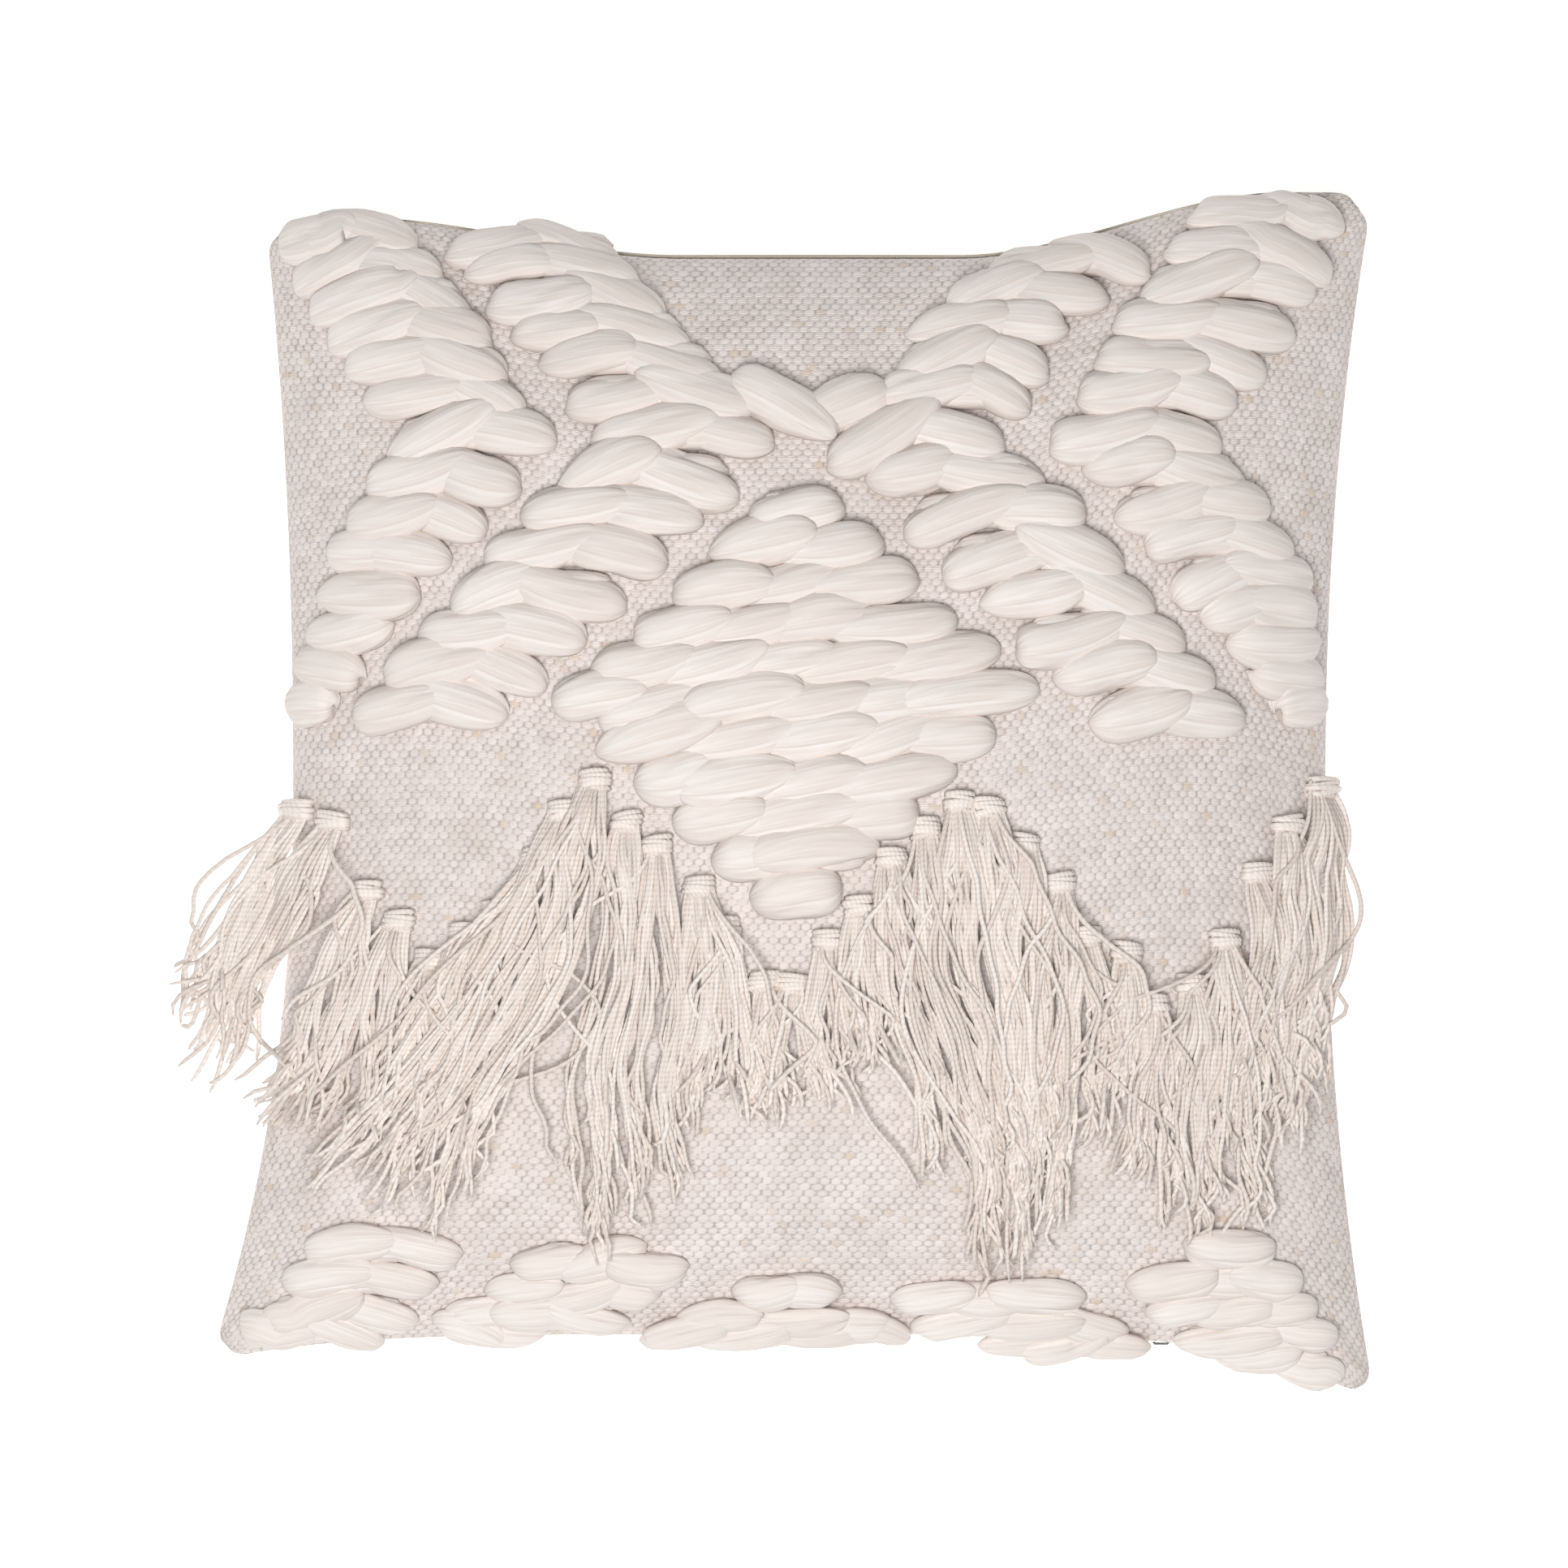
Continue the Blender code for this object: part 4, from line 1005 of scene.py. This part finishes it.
colour = add_node(
    tree, "ShaderNodeMix", {"Factor": between, 6: srgb("A99A90"), 7: undyed}, data_type="RGBA"
).outputs[2]
tree.links.new(colour, shader.inputs["Base Color"])
ply_bump = add_node(tree, "ShaderNodeBump", {"Height": bands, "Distance": 0.00012, "Strength": 0.6})
tree.links.new(ply_bump.outputs[0], shader.inputs["Normal"])

for number, share in enumerate(np.linspace(TASSEL_LINE[0, 0], TASSEL_LINE[-1, 0], TASSELS), start=1):
    tassel(number, share, np.random.default_rng(100 + number))


# ---- The zip ----------------------------------------------------------------------------------------
# A nylon coil zip in the bottom seam: two woven tapes, a flattened spiral of monofilament along the edge
# of each, and pressed metal stops. The slider and its pull are die-cast and keep their shape.

COIL_PITCH, MONOFILAMENT = 0.0015, 0.00050
COIL_STEPS, COIL_POINTS = 10, 5
BAR_POINTS = 24
TAPE_RIB = 0.0005


def bar(low, high, rings, square, rounding):
    """A bar along x between two corners. Its section is a flattened round, squared off by a power.

    Near its two ends the section shrinks by a power of the way along, which rounds them off.
    """
    t = np.sin(np.linspace(-np.pi / 2, np.pi / 2, rings))
    shrink = np.maximum(1 - np.abs(t) ** rounding, 0.0004) ** (1 / rounding)
    around = np.linspace(0, 2 * np.pi, BAR_POINTS, endpoint=False)
    wide, tall = (np.sign(f) * np.abs(f) ** (2 / square) for f in (np.cos(around), np.sin(around)))
    middle, half = (low + high) / 2, (high - low) / 2
    x = middle[0] + half[0] * t[:, None] * np.ones(BAR_POINTS)
    y = middle[1] + half[1] * shrink[:, None] * wide
    z = middle[2] + half[2] * shrink[:, None] * tall
    return np.stack([x, y, z], axis=-1), high[0] - low[0]


def coil(low, high):
    """A spiral along x between two corners: an ellipse in y and z that moves on by a pitch each turn."""
    turns = round((high[0] - low[0]) / COIL_PITCH)
    angle = np.linspace(0, 2 * np.pi * turns, turns * COIL_STEPS)
    middle, half = (low + high) / 2, (high - low) / 2 - MONOFILAMENT / 2
    radial = np.stack([np.zeros_like(angle), half[1] * np.cos(angle), half[2] * np.sin(angle)], axis=-1)
    onward = np.stack([np.linspace(-half[0], half[0], len(angle)), 0 * angle, 0 * angle], axis=-1)
    path = radial + onward + middle
    out = radial / np.linalg.norm(radial, axis=-1, keepdims=True)
    over = np.cross(np.gradient(path, axis=0), out)
    over /= np.linalg.norm(over, axis=-1, keepdims=True)
    around = np.linspace(0, 2 * np.pi, COIL_POINTS, endpoint=False)[:, None]
    ring = out[:, None] * np.cos(around) + over[:, None] * np.sin(around)
    rings = path[:, None] + ring * MONOFILAMENT / 2
    return rings[:, ::-1], turns * COIL_PITCH


# Nickel-plated zinc: a warm grey metal with a dull shine and a fine tumbled grain.
nickel, tree, shader = new_material("nickel_plated_zinc", Metallic=1.0, Roughness=0.32)
place = add_node(tree, "ShaderNodeTexCoord").outputs["Object"]
grain = add_node(tree, "ShaderNodeTexNoise", {"Vector": place, "Scale": 900.0, "Detail": 3.0}).outputs["Fac"]
colour = add_node(
    tree, "ShaderNodeMix", {"Factor": grain, 6: srgb("A8A49C"), 7: srgb("C6C2BA")}, data_type="RGBA"
).outputs[2]
tree.links.new(colour, shader.inputs["Base Color"])
grain_bump = add_node(tree, "ShaderNodeBump", {"Height": grain, "Distance": 0.00005, "Strength": 0.3})
tree.links.new(grain_bump.outputs[0], shader.inputs["Normal"])

# Extruded nylon: half shiny and ivory, with slow changes of tone along it.
nylon, tree, shader = new_material("nylon_monofilament", Roughness=0.38, IOR=1.53)
place = add_node(tree, "ShaderNodeUVMap", uv_map="strand").outputs["UV"]
tone = add_node(tree, "ShaderNodeTexNoise", {"Vector": place, "Scale": 40.0, "Detail": 2.0}).outputs["Fac"]
colour = add_node(
    tree, "ShaderNodeMix", {"Factor": tone, 6: srgb("D2C7B8"), 7: srgb("E6DDCF")}, data_type="RGBA"
).outputs[2]
tree.links.new(colour, shader.inputs["Base Color"])

# Woven polyester tape: dull, with ribs 0.5 mm apart across it.
tape, tree, shader = new_material("woven_polyester_tape", Roughness=0.8, Sheen_Weight=0.1)
place = add_node(tree, "ShaderNodeTexCoord").outputs["Object"]
ribs = add_node(
    tree,
    "ShaderNodeTexWave",
    {"Vector": place, "Scale": WAVE_BAND / TAPE_RIB, "Distortion": 0.6},
    bands_direction="X",
).outputs["Fac"]
colour = add_node(
    tree, "ShaderNodeMix", {"Factor": ribs, 6: srgb("CFC3B2"), 7: srgb("E3D9CA")}, data_type="RGBA"
).outputs[2]
tree.links.new(colour, shader.inputs["Base Color"])
rib_bump = add_node(tree, "ShaderNodeBump", {"Height": ribs, "Distance": 0.0001, "Strength": 0.8})
tree.links.new(rib_bump.outputs[0], shader.inputs["Normal"])

ZIP_PIECES = (
    ("zipper_tape_front", tape, "woven", lambda low, high: bar(low, high, 60, square=7, rounding=24)),
    ("zipper_tape_back", tape, "woven", lambda low, high: bar(low, high, 60, square=7, rounding=24)),
    ("zipper_coil_front", nylon, "spiral", coil),
    ("zipper_coil_back", nylon, "spiral", coil),
    ("zipper_stop_left", nickel, "pressed", lambda low, high: bar(low, high, 16, square=5, rounding=5)),
    ("zipper_stop_right", nickel, "pressed", lambda low, high: bar(low, high, 16, square=5, rounding=5)),
)
for node, material, make, shape in ZIP_PIECES:
    rings, length = shape(*(np.array(corner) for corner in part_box(node)))
    piece = tubes_piece(f"{node}_{make}", [rings], [length])
    piece.data.materials.append(material)
    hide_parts(node)
for node in ("zipper_slider", "zipper_pull"):
    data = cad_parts[node].data
    data.materials.clear()
    data.materials.append(nickel)


# ---- The insert -------------------------------------------------------------------------------------
# The cushion pad inside: a calico casing sewn from two halves, and the polyester fibre that fills it.
# Both follow the cover's outline, a little smaller, with the casing clear of the zip's tapes.

CASING_CLOTH = 0.0008
CASING_STEP = 4
# How narrow each layer is beside the cover, how far inside its bottom and top edges lie, and how much
# lower its crown is.
CASING_INSET = (0.955, 0.0135, 0.0060, 0.0075)
FILL_INSET = (0.930, 0.0165, 0.0110, 0.0100)
# How far above the floor a layer's flat lies, as a share of how much lower its crown is.
FLOOR_CLEARANCE = 0.6


def inset_faces(narrow, bottom_in, top_in, lower):
    """The cover's two faces before they were blown up, drawn in at the sides, edges and crown."""
    share = (v_grid + 1) / 2
    x = x_grid * narrow
    y = y_grid + bottom_in * (1 - share) - top_in * share
    share = swell(u_grid, v_grid)
    front = np.stack([x, y, SEAM_Z + (CROWN_FRONT - lower) * share], axis=-1)
    # The back is as flat as the cover's, and a cloth's clearance above it.
    low = np.maximum(SEAM_Z - (CROWN_BACK - lower) * share, lower * FLOOR_CLEARANCE)
    return front, np.stack([x, y, np.minimum(low, SEAM_Z)], axis=-1)


calico = canvas_material("cotton_calico", "F1EDE4", "E4DFD3")
casing_halves = ("insert_casing_front", "insert_casing_back")
for node, shape, side in zip(casing_halves, inset_faces(*CASING_INSET), (1, -1)):
    shape[..., 2] += side * SEAM_GAP / 2
    inner = (shape - side * surface_normals(shape) * CASING_CLOTH)[::CASING_STEP, ::CASING_STEP]
    casing = cloth_piece(f"{node}_cloth", shape, inner, CASING_STEP, front=side > 0)
    lay_map(casing, "cloth", shape[..., :2], CASING_STEP)
    casing.data.materials.append(calico)
    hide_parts(node)

# Carded polyester fibre: white, matt, in soft clumps 12 mm across.
fibrefill, tree, shader = new_material("polyester_fibrefill", Roughness=1.0, Sheen_Weight=0.3)
place = add_node(tree, "ShaderNodeTexCoord").outputs["Object"]
clumps = add_node(tree, "ShaderNodeTexNoise", {"Vector": place, "Scale": 80.0, "Detail": 6.0}).outputs["Fac"]
colour = add_node(
    tree, "ShaderNodeMix", {"Factor": clumps, 6: srgb("DEDDD8"), 7: srgb("F3F2EE")}, data_type="RGBA"
).outputs[2]
tree.links.new(colour, shader.inputs["Base Color"])
clump_bump = add_node(tree, "ShaderNodeBump", {"Height": clumps, "Distance": 0.004, "Strength": 0.8})
tree.links.new(clump_bump.outputs[0], shader.inputs["Normal"])
fill = new_piece("insert_fill_fibre", *bag_mesh(*inset_faces(*FILL_INSET))[:2])
fill.data.materials.append(fibrefill)
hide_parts("insert_fill")


# ---- The room ---------------------------------------------------------------------------------------
# A plain white paper floor that glows a little, one large soft light overhead, a little towards the
# bottom edge, and a camera with a long lens straight above.

FLOOR_HALF, FLOOR_Z = 6.0, -0.0005
# The view is this wide at this height above the floor.
VIEW_WIDTH, VIEW_HEIGHT = 0.618, 0.08
VIEW_MIDDLE = (-0.0045, 0.0029)
LENS, SENSOR = 200, 36
FLOOR_GLOW, SKY_STRENGTH = 0.65, 0.24

corners = np.array([(-1, -1), (1, -1), (1, 1), (-1, 1)]) * FLOOR_HALF
floor_points = np.concatenate([corners, np.full((4, 1), FLOOR_Z)], axis=1)
floor = new_piece("studio_floor", floor_points, np.array([[0, 1, 2, 3]]), body=None)
paper, tree, shader = new_material("white_paper_floor", Roughness=0.9)
shader.inputs["Base Color"].default_value = srgb("FBFBFB")
shader.inputs["Emission Color"].default_value = srgb("FFFFFF")
shader.inputs["Emission Strength"].default_value = FLOOR_GLOW
floor.data.materials.append(paper)

world = bpy.data.worlds.new("studio")
bpy.context.scene.world = world
world.use_nodes = True
world.node_tree.nodes["Background"].inputs["Color"].default_value = (1.0, 1.0, 1.0, 1.0)
world.node_tree.nodes["Background"].inputs["Strength"].default_value = SKY_STRENGTH


def area_light(name, place, aim, size, power):
    """A square area light that faces a point."""
    data = bpy.data.lights.new(name, "AREA")
    data.shape = "SQUARE"
    data.size = size
    data.energy = power
    light = bpy.data.objects.new(name, data)
    light.location = place
    way = np.array(aim) - np.array(place)
    tilt = math.acos(-way[2] / np.linalg.norm(way))
    light.rotation_euler = (tilt, 0, math.atan2(way[0], -way[1]) + math.pi)
    bpy.context.scene.collection.objects.link(light)


area_light("key_light", place=(-0.16, -0.38, 2.1), aim=(0, -0.03, 0.06), size=0.9, power=36)

camera_data = bpy.data.cameras.new("camera")
camera_data.lens = LENS
camera_data.clip_end = 20
camera = bpy.data.objects.new("camera", camera_data)
camera.location = (*VIEW_MIDDLE, VIEW_HEIGHT + VIEW_WIDTH * LENS / SENSOR)
bpy.context.scene.collection.objects.link(camera)
bpy.context.scene.camera = camera
bpy.context.scene.view_settings.view_transform = "Standard"
